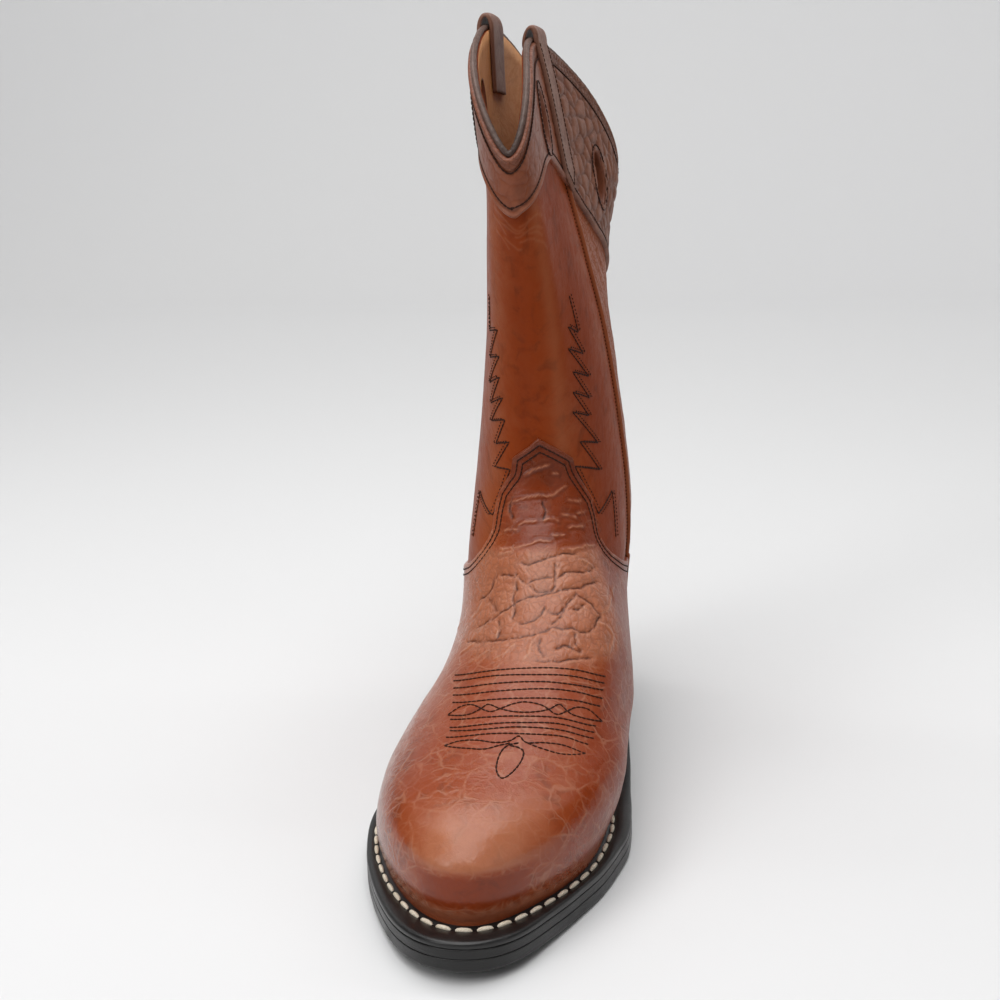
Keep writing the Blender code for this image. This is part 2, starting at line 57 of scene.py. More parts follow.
SHAFT_MIDDLE, BULGE_UP, TUCK = 75.0, 17.0, 3.0
LEAN_FROM, LEAN_OVER, LEAN_MOST = 8.0, 52.0, 1.3
MIX_LOW, MIX_HIGH, MIX_OVER = 45.0, 110.0, 45.0
MIX_FRONT, MIX_BACK = 185.0, 115.0
ANKLE_HEIGHT, ANKLE_SLOPE = 104.0, 0.28
SEAM_SOLE, SEAM_ANKLE, SEAM_RIM = 62.0, 66.0, 76.0
EAR_MEDIAL, EAR_LATERAL, FRONT_DIP, BACK_DIP, RIM_POINT = 319.0, 325.0, 271.0, 262.0, 1.4
TURNS = 64
HOLE_WIDE, HOLE_TALL = 12.0, 25.0
PULL_HOLES = ((11.3, 1.875), (22.2, 1.8), (-11.3, 1.875), (-22.2, 1.8))
STRAP_THICK, STRAP_FRONT, STRAP_BACK = 1.6, 1.3, 0.98
STRAP_TIP, STRAP_POINT, STRAP_INSIDE, STRAP_LOOP = 1.70, 0.04, 1.88, 5.5
BEAD_RADIUS = 1.35


def table(names, rows):
    return dict(zip(names.split(), np.array(rows, float).T))


FRONT = table("height reach crown", [
    (17, 277, 100), (27, 279.5, 100), (36, 279, 104), (43, 273, 112), (48, 262.5, 122), (53, 247, 128),
    (60, 227, 122), (70, 204, 108), (84, 180, 94), (100, 158.5, 82), (116, 143, 72), (135, 133, 66),
    (160, 130, 64), (190, 131.5, 62), (225, 136.5, 60), (260, 142.5, 56), (295, 149.5, 50), (340, 156.5, 46),
])
BACK = table("height reach crown", [
    (43, 5, 30), (55, 2, 31), (75, 3.5, 32), (95, 6.5, 34), (120, 8, 38), (160, 4, 46), (210, -5, 54),
    (260, -13, 54), (300, -18, 50), (340, -21, 46),
])
FOOT = table("along centre lean medial lateral", [
    (0, 0, 0, 29, 29), (30, 0, 0, 31, 31), (65, 0.5, 2, 34.5, 32), (110, 0, 8, 39, 36.5),
    (150, -2, 13, 42, 42), (168, -4, 14.2, 43.3, 44), (185, -5, 15, 45.3, 45.3), (205, -4.8, 14, 47.8, 46.6),
    (225, -3.6, 10, 47.2, 46.4), (245, -2.6, 6, 43.6, 44.4), (265, -1.8, 3, 38.4, 41), (288, -0.8, 0, 35, 38),
])
SHAFT = table("height centre twist bow medial lateral", [
    (40, 0, 0, 0, 31, 31), (70, 1, 0, 0, 34, 33.5), (95, 2, 0, 0, 36, 36), (120, 2.5, 0, 0, 35, 35),
    (150, 2.5, 0, 0, 32, 32), (190, 2, -0.01, 0.0003, 26.5, 26.5), (230, -0.5, -0.05, 0.0012, 20, 20),
    (265, -4, -0.1, 0.0022, 15, 13.5), (300, -8, -0.1, 0.0022, 12.5, 11.5), (340, -13, -0.1, 0.0022, 7.5, 7),
])
MARGIN = table("along medial lateral", [
    (0, 2.6, 2.6), (58, 3, 3), (85, 4.5, 4.5), (110, 5.5, 5.5), (140, 7.4, 6.6), (155, 9.8, 7),
    (172, 13, 7.4), (183, 12.9, 7.6), (200, 11.2, 7.8), (217, 9.4, 8.2), (235, 8, 9), (250, 8.6, 10),
    (265, 10.8, 11.8), (278, 14.8, 14.8),
])
VAMP_EDGE = table("turn level", [
    (-16, 0.68), (-12, 0.712), (-10, 0.735), (-8.1, 0.768), (-7, 0.8), (-5.92, 0.842), (-5.2, 0.885),
    (-4.64, 0.936), (-4.35, 1.02), (-4.1, 1.06), (-3.12, 1.1), (-2.5, 1.118), (-2.32, 1.162), (-0.56, 1.193),
    (1.1, 1.222), (3.28, 1.187), (5.3, 1.153), (5.48, 1.122), (6.4, 1.08), (7.25, 1.042), (7.5, 1.0),
    (7.84, 0.9), (8.5, 0.856), (9.44, 0.816), (11.5, 0.75), (14.2, 0.685), (16, 0.67),
])
COUNTER_EDGE = table("turn level", [(16, 0.67), (24, 0.88), (32, 1.1), (40, 0.88), (48, 0.68)])
COLLAR_EDGE = table("turn level", [
    (-16, 1.74), (-13, 1.775), (-10, 1.8), (-5, 1.822), (1.05, 1.842), (6, 1.816), (9, 1.808), (11.5, 1.79),
    (16, 1.71), (18, 1.672), (20.5, 1.65), (26, 1.65), (32, 1.7), (38, 1.65), (43.5, 1.67), (48, 1.74),
])


def smooth(rows, key, name, at):
    """A column of a table at any place between its rows, on a curve that never overshoots."""
    x, y = rows[key], rows[name]
    step = np.diff(x)
    rise = np.diff(y) / step
    slope = np.concatenate([rise[:1], np.zeros(len(rise) - 1), rise[-1:]])
    same = rise[:-1] * rise[1:] > 0
    near, far = step[:-1], step[1:]
    before = np.where(same, rise[:-1], 1.0)
    after = np.where(same, rise[1:], 1.0)
    mean = 3 * (near + far) / ((2 * far + near) / before + (far + 2 * near) / after)
    slope[1:-1] = np.where(same, mean, 0.0)
    at = np.clip(np.asarray(at, float), x[0], x[-1])
    i = np.clip(np.searchsorted(x, at) - 1, 0, len(step) - 1)
    u = (at - x[i]) / step[i]
    ends_part = y[i] * (1 + 2 * u) * (1 - u) ** 2 + y[i + 1] * u * u * (3 - 2 * u)
    return ends_part + step[i] * u * (1 - u) * (slope[i] * (1 - u) - slope[i + 1] * u)


def ease(u):
    u = np.clip(u, 0.0, 1.0)
    return u * u * (3 - 2 * u)


def rise(value, start, over):
    return ease((value - start) / over)


def fall(value, end, over):
    return ease((end - value) / over)


def hill(value, middle, half):
    return np.exp(-((value - middle) / half) ** 2)


def unit(vectors):
    return vectors / np.linalg.norm(vectors, axis=-1, keepdims=True)


def circle(count):
    return np.linspace(0, 2 * np.pi, count, endpoint=False)


def sole_under(along):
    waist = HEEL_RISE * (1 - rise(along, HEEL_BREAST, TREAD_BACK - HEEL_BREAST))
    toe = np.clip((along - TREAD_FRONT) / (SOLE_TIP - TREAD_FRONT), 0, None)
    return waist + TOE_SPRING * toe ** 2


def sole_margin(turn, along):
    medial, lateral = (smooth(MARGIN, "along", side, along) for side in ("medial", "lateral"))
    return np.where(turn % TURNS <= TURNS / 2, medial, lateral)


def seat(along):
    return sole_under(along) + OUTSOLE + MIDSOLE + 2 * GAP


def shaft_share(along, height):
    low = rise(height, MIX_LOW, MIX_HIGH - MIX_LOW) * fall(along, MIX_FRONT, MIX_FRONT - MIX_BACK)
    return 1 - (1 - low) * (1 - rise(height, MIX_HIGH, MIX_OVER))


def half_width(along, height, side):
    share = shaft_share(along, height)
    full = smooth(FOOT, "along", side, along) * (1 - share)
    full = full + smooth(SHAFT, "height", side, height) * share
    low = np.clip(1 - (height - seat(along)) / BULGE_UP, 0, 1)
    ahead = (smooth(FRONT, "height", "reach", height) - along) / smooth(FRONT, "height", "crown", height)
    behind = (along - smooth(BACK, "height", "reach", height)) / smooth(BACK, "height", "crown", height)
    nose = np.sqrt(1 - (1 - np.clip(ahead, 0, 1)) ** 2)
    heel = np.sqrt(1 - (1 - np.clip(behind, 0, 1)) ** 2)
    return (full - TUCK * low ** 2) * nose * heel


def centre(along, height):
    share = shaft_share(along, height)
    up = np.clip((height - seat(along) - LEAN_FROM) / LEAN_OVER, 0, LEAN_MOST)
    foot = smooth(FOOT, "along", "centre", along) + smooth(FOOT, "along", "lean", along) * up
    off = along - SHAFT_MIDDLE
    shaft = smooth(SHAFT, "height", "centre", height) + smooth(SHAFT, "height", "twist", height) * off
    shaft = shaft + smooth(SHAFT, "height", "bow", height) * off ** 2
    return foot * (1 - share) + shaft * share


def rim(turn):
    turn = turn % 1.0
    ear = np.where(turn <= 0.5, EAR_MEDIAL, EAR_LATERAL)
    quarter = np.minimum(turn, 1 - turn) * 4
    dip = np.where(quarter <= 1, FRONT_DIP, BACK_DIP)
    up = np.minimum(quarter, 2 - quarter)
    return dip + (ear - dip) * np.sin(up ** RIM_POINT * np.pi / 2)


def level_height(turn, along, level):
    low = seat(along)
    ankle = ANKLE_HEIGHT + ANKLE_SLOPE * (along - SEAM_ANKLE)
    foot = low + np.clip(level, 0, 1) * (ankle - low)
    return foot + np.clip(level - 1, 0, 1) * (rim(turn) - ankle)


def level_ends(level):
    found = []
    for turn, profile, outer, inner in ((0.0, FRONT, 300.0, 60.0), (0.5, BACK, -60.0, 60.0)):
        outer = np.full(level.shape, outer)
        inner = np.full(level.shape, inner)
        for _ in range(45):
            middle = (outer + inner) / 2
            reach = smooth(profile, "height", "reach", level_height(turn + 0 * level, middle, level))
            within = (reach - middle) * (outer - inner) > 0
            inner = np.where(within, middle, inner)
            outer = np.where(within, outer, middle)
        found.append(inner)
    return found


KNOWN_LEVELS = np.linspace(0, 2, 2001)
KNOWN_FRONT, KNOWN_BACK = level_ends(KNOWN_LEVELS)


def outer_face(turn, level):
    """A place on the upper's outer face, turn from 0 to 1: (along, across, height)."""
    turn, level = np.broadcast_arrays(turn % 1.0, level)
    front = np.interp(level, KNOWN_LEVELS, KNOWN_FRONT)
    back = np.interp(level, KNOWN_LEVELS, KNOWN_BACK)
    foot = SEAM_SOLE + (SEAM_ANKLE - SEAM_SOLE) * ease(level)
    middle = foot + (SEAM_RIM - SEAM_ANKLE) * ease(level - 1)
    swing = np.cos(turn * 2 * np.pi)
    along = middle + np.where(swing > 0, front - middle, middle - back) * swing
    height = level_height(turn, along, level)
    medial = centre(along, height) + half_width(along, height, "medial")
    lateral = centre(along, height) - half_width(along, height, "lateral")
    return np.stack([along, np.where(turn <= 0.5, medial, lateral), height], -1)


def outward(turn, level):
    small = 2e-3
    around = outer_face(turn + small, level) - outer_face(turn - small, level)
    up = outer_face(turn, np.minimum(level + small, 2)) - outer_face(turn, np.maximum(level - small, 0))
    return unit(np.cross(around, up))


def skin(turn, level, off=0.0):
    """Places a distance outside the upper's face, turn in 64ths."""
    turn, level, off = np.broadcast_arrays(np.asarray(turn, float), level, off)
    return outer_face(turn / TURNS, level) + outward(turn / TURNS, level) * off[..., None]


def place(points):
    """From the boot's own directions in millimetres to the frame's axes in metres."""
    points = np.asarray(points, float).reshape(-1, 3)
    return np.stack([points[:, 1] - MIDDLE[1], MIDDLE[0] - points[:, 0], points[:, 2]], -1) * MM


# ---------------------------------------------------------------- meshes
def grid_faces(rows, columns, around=False):
    """Quads of a grid of points whose normals face out when columns follow the turns and rows go up."""
    i = np.arange(rows - 1)[:, None] * columns
    j = np.arange(columns if around else columns - 1)[None]
    k = (j + 1) % columns
    return np.stack([i + j, i + k, i + columns + k, i + columns + j], -1).reshape(-1, 4)


def piece(name, points, quads, looks, node=None, slot=None, look_of=None, **fields):
    """A mesh of the boot that rides on its one body and may stand for a node of the frame.

    looks are names of materials; slot is not used. A field is one value or a
    grid of them; place, for the grain, is the points themselves where none is given.
    """
    mesh = bpy.data.meshes.new(name)
    mesh.from_pydata(place(points).tolist(), [], [list(dict.fromkeys(q)) for q in np.asarray(quads).tolist()])
    mesh.polygons.foreach_set("use_smooth", np.ones(len(mesh.polygons), bool))
    for look in looks:
        mesh.materials.append(LOOKS[look])
    if look_of is not None:
        mesh.polygons.foreach_set("material_index", np.asarray(look_of, np.int32))
    for label, values in {"place": points, **fields}.items():
        vector = label == "place"
        kind, key = ("FLOAT_VECTOR", "vector") if vector else ("FLOAT", "value")
        values = np.broadcast_to(values, points.shape if vector else points.shape[:-1]).astype(np.float32)
        mesh.attributes.new(label, kind, "POINT").data.foreach_set(key, values.ravel())
    mesh.update()
    made = bpy.data.objects.new(name, mesh)
    bpy.context.scene.collection.objects.link(made)
    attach(made, "root")
    if node:
        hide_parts(node)
    slot = slot or looks[0]


def lengths(points, axis):
    """Running length of a grid along an axis, from its first place."""
    step = np.linalg.norm(np.diff(points, axis=axis), axis=-1)
    start = np.zeros_like(np.take(step, [0], axis))
    return np.concatenate([start, np.cumsum(step, axis)], axis)


def flat_places(points, seed):
    """Width and height of each place in millimetres, measured over the skin, for grain."""
    across = lengths(points, 1)
    across = across - across[:, [across.shape[1] // 2]]
    return np.stack([across, lengths(points, 0), np.full(across.shape, seed)], -1)


FAR = 12.0  # distances in millimetres are cut off here


def around_line(flat, line):
    """Which points may lie closer than FAR to a line."""
    return np.flatnonzero(((flat > line.min(0) - FAR) & (flat < line.max(0) + FAR)).all(1))


def near_line(points, line):
    """Distance of each point to a line of close places."""
    flat = points.reshape(-1, 3)
    found = np.full(len(flat), FAR)
    picked = around_line(flat, line)
    for part in np.array_split(picked, max(1, len(picked) // 4000)):
        gaps = np.linalg.norm(flat[part][:, None] - line[None], axis=-1)
        found[part] = np.minimum(gaps.min(1), FAR)
    return found.reshape(points.shape[:-1])


def trail(stops, off=0.0, apart=0.4, curved=True):
    """Close places along a line of (turn, level) stops, with the skin's normals there."""
    stops = np.asarray(stops, float)
    if curved and len(stops) > 2:
        padded = np.concatenate([2 * stops[:1] - stops[1:2], stops, 2 * stops[-1:] - stops[-2:-1]])
        u = np.linspace(0, 1, 24, endpoint=False)[:, None]
        parts = []
        for p, a, b, n in zip(padded, padded[1:], padded[2:], padded[3:]):
            parts.append(0.5 * (2 * a + (b - p) * u + (2 * p - 5 * a + 4 * b - n) * u ** 2
                                + (3 * a - p - 3 * b + n) * u ** 3))
        stops = np.concatenate(parts + [stops[-1:]])
    run = lengths(skin(stops[:, 0], stops[:, 1]), 0)
    at = np.linspace(0, run[-1], max(4, int(run[-1] / apart)))
    turn, level = np.interp(at, run, stops[:, 0]), np.interp(at, run, stops[:, 1])
    return turn, level, skin(turn, level, off), outward(turn / TURNS, level)


def shifted(stops, by):
    """A line of stops moved over the skin, to its left when positive, by millimetres."""
    turn, level, points, normal = trail(stops, 0.0, 1.0, curved=False)
    left = np.cross(normal, unit(np.gradient(points, axis=0)))
    d = 1e-2
    per_turn = (skin(turn + d, level) - skin(turn - d, level)) / (2 * d)
    per_level = (skin(turn, level + d / 4) - skin(turn, level - d / 4)) / (d / 2)
    a, b, c = (per_turn ** 2).sum(1), (per_turn * per_level).sum(1), (per_level ** 2).sum(1)
    p, q = (left * per_turn).sum(1), (left * per_level).sum(1)
    det = a * c - b * b
    return np.stack([turn + by * (c * p - b * q) / det, level + by * (a * q - b * p) / det], 1)


# ---------------------------------------------------------------- materials
class Nodes:
    """The shader nodes of one material. A value is a socket, a number or a tuple."""

    def __init__(self, name):
        self.look = bpy.data.materials.new(name)
        self.look.use_nodes = True
        self.tree = self.look.node_tree
        self.body = self.tree.nodes["Principled BSDF"]

    def join(self, value, socket):
        if isinstance(value, bpy.types.NodeSocket):
            self.tree.links.new(value, socket)
        else:
            socket.default_value = value

    def add(self, kind, inputs=(), **settings):
        made = self.tree.nodes.new("ShaderNode" + kind)
        for key, value in settings.items():
            setattr(made, key, value)
        for socket, value in dict(inputs).items():
            self.join(value, made.inputs[socket])
        return made.outputs

    def surface(self, sockets, height=None):
        """Sets the shader's sockets, and its bump from a height in millimetres."""
        for socket, value in sockets.items():
            self.join(value, self.body.inputs[socket])
        if height is not None:
            bump = self.add("Bump", {"Strength": 1.0, "Distance": MM, "Height": height})
            self.join(bump[0], self.body.inputs["Normal"])
        return self.look

    def maths(self, kind, first, second):
        return self.add("Math", {0: first, 1: second}, operation=kind)[0]

    def times(self, first, second):
        return self.maths("MULTIPLY", first, second)

    def mixed(self, share, first, second):
        first, second = (value + (1.0,) if isinstance(value, tuple) else value for value in (first, second))
        return self.add("Mix", {0: share, 6: first, 7: second}, data_type="RGBA")[2]

    def ranged(self, value, low, high, to_low=0.0, to_high=1.0):
        inputs = enumerate((value, low, high, to_low, to_high))
        return self.add("MapRange", inputs, interpolation_type="SMOOTHSTEP")[0]

    def field(self, name, output="Fac"):
        return self.add("Attribute", attribute_name=name)[output]

    def scaled(self, vector, factors):
        return self.add("VectorMath", {0: vector, 1: factors}, operation="MULTIPLY")[0]

    def noise(self, vector, size, detail=3.0, rough=0.55, twist=0.0, output="Fac"):
        """Cloudy noise whose features are about that many millimetres wide."""
        inputs = {"Vector": vector, "Scale": 1.0 / size, "Detail": detail, "Roughness": rough, "Distortion": twist}
        return self.add("TexNoise", inputs)[output]

    def cells(self, vector, size):
        """Distance to the edge of uneven cells about that many millimetres wide."""
        inputs = {"Vector": vector, "Scale": 1.0 / size, "Randomness": 1.0}
        return self.add("TexVoronoi", inputs, feature="DISTANCE_TO_EDGE")["Distance"]

    def wobbled(self, vector, size, by):
        """Coordinates pushed about, so that lines drawn in them wander."""
        push = self.noise(vector, size, 2.0, output="Color")
        return self.add("VectorMath", {0: push, 1: (by, by, 0.0), 2: vector}, operation="MULTIPLY_ADD")[0]

    def veined(self, at, size, thin, stretch):
        """A net of thin lines around long cells."""
        net = self.cells(self.scaled(self.wobbled(at, size * 0.9, size * 0.8), stretch), size)
        return self.ranged(net, 0.0, thin, 1.0, 0.0)


def leather(name, base, pale, dark, deep, cell, cell_depth, grain, grain_depth, gloss, coat, crack_dark, shine):
    """Leather by its colours, the size and depth of its cells and grain, and its polish.

    Fields on the mesh: place in millimetres, cell how strong the cells are, shade how dark, from the leather's own
    tone and from painted shade, paler how pale, from wear and from painted highlights, rich how saturated, from the
    leather's own tone and from painted shade, vein how strong the pale veins are, polish how smooth.
    """
    nodes = Nodes(name)
    at = nodes.field("place", "Vector")
    strength = nodes.field("cell")
    edge = nodes.cells(nodes.wobbled(nodes.scaled(at, (0.8, 1.25, 1.0)), cell * 1.3, cell * 0.9), cell)
    line = nodes.times(nodes.ranged(edge, 0.0, 0.1, 1.0, 0.0), strength)
    cloud = nodes.noise(at, 34.0, 3.0, 0.6)
    mottle = nodes.noise(at, 5.0, 5.0, 0.68, 0.6)
    blot = nodes.noise(at, 9.0, 4.0, 0.62, 0.8)
    wide_net = nodes.veined(at, 9.0, 0.07, (0.9, 0.6, 1.0))
    fine_net = nodes.times(nodes.veined(at, 4.5, 0.1, (1.0, 0.5, 1.0)), 0.55)
    broken = nodes.times(nodes.field("vein"), nodes.ranged(blot, 0.35, 0.6, 0.25, 1.0))
    vein = nodes.times(nodes.maths("MAXIMUM", wide_net, fine_net), broken)
    colour = base
    for share, tone in (
        (nodes.ranged(cloud, 0.35, 0.7, 0.0, 0.35), pale),
        (nodes.field("rich"), deep),
        (nodes.ranged(mottle, 0.4, 0.72, 0.0, 0.6), deep),
        (nodes.ranged(blot, 0.5, 0.72, 0.0, 0.3), dark),
        (nodes.field("worn"), pale),
        (nodes.times(vein, 0.42), pale),
        (nodes.times(line, crack_dark), dark),
        (nodes.field("shade"), dark),
    ):
        colour = nodes.mixed(share, colour, tone)
    height = nodes.times(nodes.noise(at, grain, 4.0, 0.6), grain_depth)
    pillow = nodes.times(nodes.ranged(edge, 0.0, 0.32), strength)
    for part, depth in ((mottle, grain_depth * 2.0), (vein, 0.1), (pillow, cell_depth)):
        height = nodes.maths("ADD", height, nodes.times(part, depth))
    rough = nodes.ranged(mottle, 0.3, 0.75, gloss - 0.05, gloss + 0.1)
    rough = nodes.maths("SUBTRACT", rough, nodes.times(nodes.field("polish"), 0.16))
    rough = nodes.maths("ADD", rough, nodes.times(line, 0.2))
    return nodes.surface({"Base Color": colour, "Roughness": rough, "Coat Weight": coat, "Coat Roughness": 0.2,
                          "Specular IOR Level": shine}, height)


def thread(name, colour, dark):
    nodes = Nodes(name)
    at = nodes.field("place", "Vector")
    twist = nodes.noise(at, 0.5, 2.0)
    soil = nodes.noise(at, 9.0, 2.0)
    tone = nodes.mixed(nodes.ranged(twist, 0.3, 0.7, 0.0, 0.7), colour, dark)
    tone = nodes.mixed(nodes.ranged(soil, 0.4, 0.75, 0.0, 0.5), tone, dark)
    sockets = {"Base Color": tone, "Roughness": 0.75, "Specular IOR Level": 0.2}
    return nodes.surface(sockets, nodes.times(twist, 0.12))


def black_edge(name, colour, worn, gloss, coat, layers):
    """Dyed sole leather or rubber, with fine lines of its layers."""
    nodes = Nodes(name)
    at = nodes.field("place", "Vector")
    run = nodes.noise(nodes.scaled(at, (0.06, 0.06, 2.2)), 1.0, 3.0, 0.6)
    dust = nodes.noise(at, 14.0, 4.0, 0.7)
    tone = nodes.mixed(nodes.ranged(dust, 0.45, 0.8, 0.0, 0.6), colour, worn)
    tone = nodes.mixed(nodes.ranged(run, 0.5, 0.75, 0.0, 0.4), tone, worn)
    rough = nodes.ranged(dust, 0.3, 0.8, gloss - 0.08, gloss + 0.15)
    fine = nodes.times(nodes.noise(at, 0.7, 4.0, 0.6), 0.07)
    return nodes.surface({"Base Color": tone, "Roughness": rough, "Coat Weight": coat, "Coat Roughness": 0.3,
                          "Specular IOR Level": 0.35}, nodes.maths("ADD", fine, nodes.times(run, layers)))


DARK, DEEP = (0.03, 0.007, 0.003), (0.24, 0.033, 0.003)
BROWN, ROSE = (0.24, 0.043, 0.007), (0.37, 0.135, 0.065)
TAN, PALE = (0.29, 0.058, 0.013), (0.46, 0.195, 0.11)
BLACK, WORN_BLACK = (0.007, 0.0065, 0.0065), (0.022, 0.021, 0.02)
LEATHERS = (
    # name; base, pale, dark and deep colour; cell size, depth; grain size, depth; roughness, coat, crack tone, shine
    ("vamp_leather", TAN, PALE, DARK, DEEP, 3.6, 0.22, 0.55, 0.08, 0.3, 0.13, 0.3, 0.28),
    ("counter_leather", TAN, PALE, DARK, DEEP, 3.4, 0.12, 0.55, 0.05, 0.38, 0.25, 0.8, 0.35),
    ("shaft_leather", BROWN, ROSE, DARK, DEEP, 3.2, 0.16, 0.6, 0.05, 0.36, 0.02, 0.3, 0.07),
    ("collar_front_leather", (0.22, 0.055, 0.019), (0.36, 0.17, 0.11), DARK, (0.17, 0.032, 0.007),
     2.2, 0.12, 0.6, 0.06, 0.38, 0.1, 0.4, 0.25),
    ("collar_back_leather", (0.2, 0.07, 0.036), (0.36, 0.18, 0.12), DARK, (0.13, 0.03, 0.011),
     2.6, 0.25, 0.6, 0.08, 0.46, 0.06, 0.5, 0.25),
    ("pull_strap_leather", (0.18, 0.07, 0.04), (0.32, 0.17, 0.12), DARK, (0.12, 0.04, 0.02),
     2.4, 0.14, 0.5, 0.08, 0.45, 0.06, 0.4, 0.25),
    ("lining_leather", (0.55, 0.25, 0.095), (0.62, 0.34, 0.16), (0.24, 0.09, 0.03), (0.45, 0.18, 0.06),
     4.0, 0.1, 0.8, 0.08, 0.6, 0.0, 0.2, 0.35),
    ("bead_leather", (0.095, 0.047, 0.033), (0.22, 0.13, 0.1), (0.02, 0.009, 0.007), (0.1, 0.05, 0.032),
     1.6, 0.12, 0.4, 0.09, 0.45, 0.08, 0.4, 0.35),
)
THREADS = (
    # name, colour, shaded colour
    ("thread_brown", (0.04, 0.011, 0.005), (0.02, 0.006, 0.003)),
    ("thread_cream", (0.84, 0.77, 0.65), (0.62, 0.5, 0.36)),
)
BLACK_EDGES = (
    # name, colour, worn colour, roughness, coat, depth of the layers' lines
    ("welt_black", BLACK, WORN_BLACK, 0.36, 0.2, 0.05),
    ("outsole_black", BLACK, WORN_BLACK, 0.4, 0.15, 0.1),
    ("midsole_black", BLACK, WORN_BLACK, 0.4, 0.15, 0.1),
    ("heel_black", BLACK, WORN_BLACK, 0.38, 0.2, 0.15),
    ("lift_rubber", (0.009, 0.009, 0.009), (0.03, 0.03, 0.03), 0.6, 0.0, 0.05),
)
LOOKS = {row[0]: make(*row)
         for make, rows in ((leather, LEATHERS), (thread, THREADS), (black_edge, BLACK_EDGES)) for row in rows}

# ---------------------------------------------------------------- creases, placed as (turn, level)
# Dark cracks and pale ridges of the instep, and fine wrinkles below the collar.
CRACKS = [
    [(-1.7, 0.804), (-1.1, 0.796), (-0.3, 0.808), (0.5, 0.82), (1.3, 0.828), (2.3, 0.836), (3.8, 0.836)],
    [(-3.8, 0.756), (-3, 0.756), (-2.2, 0.764)],
    [(-2.1, 0.756), (-1.8, 0.744), (-1.3, 0.736), (-0.6, 0.748), (0.2, 0.756), (1, 0.76)],
    [(1.3, 0.756), (2.3, 0.772), (3.4, 0.772), (4.5, 0.768), (5.9, 0.776)],
    [(1.4, 0.808), (1.4, 0.788), (1.1, 0.76), (1.1, 0.732), (0.6, 0.716), (-0.4, 0.712), (-1.1, 0.728)],
    [(-5.7, 0.576), (-4.4, 0.616), (-3.3, 0.648), (-2.2, 0.676), (-1.4, 0.692), (-0.3, 0.7), (0.8, 0.712),
     (2, 0.72), (3.1, 0.72), (4.3, 0.728), (5.8, 0.728)],
    [(-6.2, 0.656), (-5.1, 0.688), (-4.6, 0.724), (-4.2, 0.748)],
    [(-2.3, 0.736), (-2.3, 0.712), (-2.6, 0.692), (-2.4, 0.656), (-2.5, 0.628)],
    [(-1.9, 0.62), (-1.4, 0.62), (-0.6, 0.636), (-0.1, 0.656), (0.1, 0.668)],
    [(0.3, 0.656), (1, 0.648), (1.7, 0.668), (2.5, 0.692), (2.8, 0.704)],
    [(2.8, 0.704), (3.5, 0.688), (4.1, 0.668), (4.6, 0.644), (4.9, 0.632), (4.3, 0.616), (3.8, 0.6),
     (3, 0.596), (2.2, 0.608), (1.4, 0.608), (0.6, 0.612)],
    [(0.6, 0.612), (0.1, 0.604), (-0.4, 0.596), (-1, 0.588), (-1.8, 0.58), (-3, 0.568), (-4.5, 0.552),
     (-6.4, 0.532)], [(0.6, 0.62), (1.2, 0.64), (1.7, 0.668)], [(2.2, 0.66), (2.9, 0.66), (3.4, 0.672)],
    [(-3.8, 0.616), (-3.4, 0.592), (-3.3, 0.568)], [(-5.1, 0.668), (-4.4, 0.652), (-4.1, 0.64)],
    [(2.3, 0.596), (2.5, 0.572), (3, 0.544)], [(1.2, 0.556), (1.7, 0.564), (2.3, 0.556), (3, 0.544)],
    [(-0.1, 0.524), (0.8, 0.524), (1.9, 0.524), (2.8, 0.528), (3.9, 0.524)],
    [(-0.1, 0.58), (0, 0.556), (0.5, 0.536)], [(-2.5, 1.024), (-2.6, 1.004), (-2.1, 0.976)],
    [(1.1, 1.032), (1.2, 1.004), (0.9, 0.968)],
]
RIDGES = [
    [(-0.7, 1.116), (0.3, 1.132), (1.3, 1.136), (2.4, 1.14)], [(2.6, 1.116), (3.3, 1.112)],
    [(-2.8, 1.028), (-1.8, 1.036), (-1, 1.044), (0.5, 1.052), (1.8, 1.052), (2.8, 1.06), (4.1, 1.08)],
    [(-1.7, 0.948), (-1, 0.96), (0.2, 0.964)], [(0.9, 0.968), (1.6, 0.976), (2.5, 0.968)],
    [(-3.2, 0.928), (-1.9, 0.928)], [(3, 0.996), (3.8, 0.988), (4.6, 0.984)], [(4.9, 1.0), (5.9, 1.008)],
    [(3.5, 0.936), (4.4, 0.944), (5.4, 0.944)], [(1.8, 0.904), (2.9, 0.908)], [(4.1, 1.036), (5.7, 1.036)],
    [(-3.7, 0.848), (-2.9, 0.852), (-1.8, 0.86), (-0.8, 0.872), (0.2, 0.888), (1.2, 0.884)],
    [(-3.9, 0.828), (-3, 0.836), (-2.4, 0.84)], [(2.6, 0.852), (3.9, 0.852), (5.4, 0.86), (6.7, 0.86)],
    [(3.9, 0.812), (4.9, 0.8), (5.7, 0.78)], [(8.8, 0.68), (7.1, 0.664), (6.1, 0.64), (5.1, 0.636)],
    [(4.5, 0.616), (5.6, 0.592), (6.2, 0.564), (5.9, 0.536)], [(-5.9, 0.648), (-6.2, 0.616), (-6.9, 0.592)],
    [(-3.6, 0.612), (-3.5, 0.588), (-3.5, 0.568)], [(-8.7, 0.548), (-10.5, 0.472)],
    [(-3.7, 0.532), (-4.2, 0.512), (-4.9, 0.492)], [(-5.4, 0.536), (-6.5, 0.496)],
    [(-1.8, 0.564), (-2.4, 0.532), (-2.9, 0.516)], [(-0.6, 0.58), (-0.6, 0.548), (-0.8, 0.524)],
]
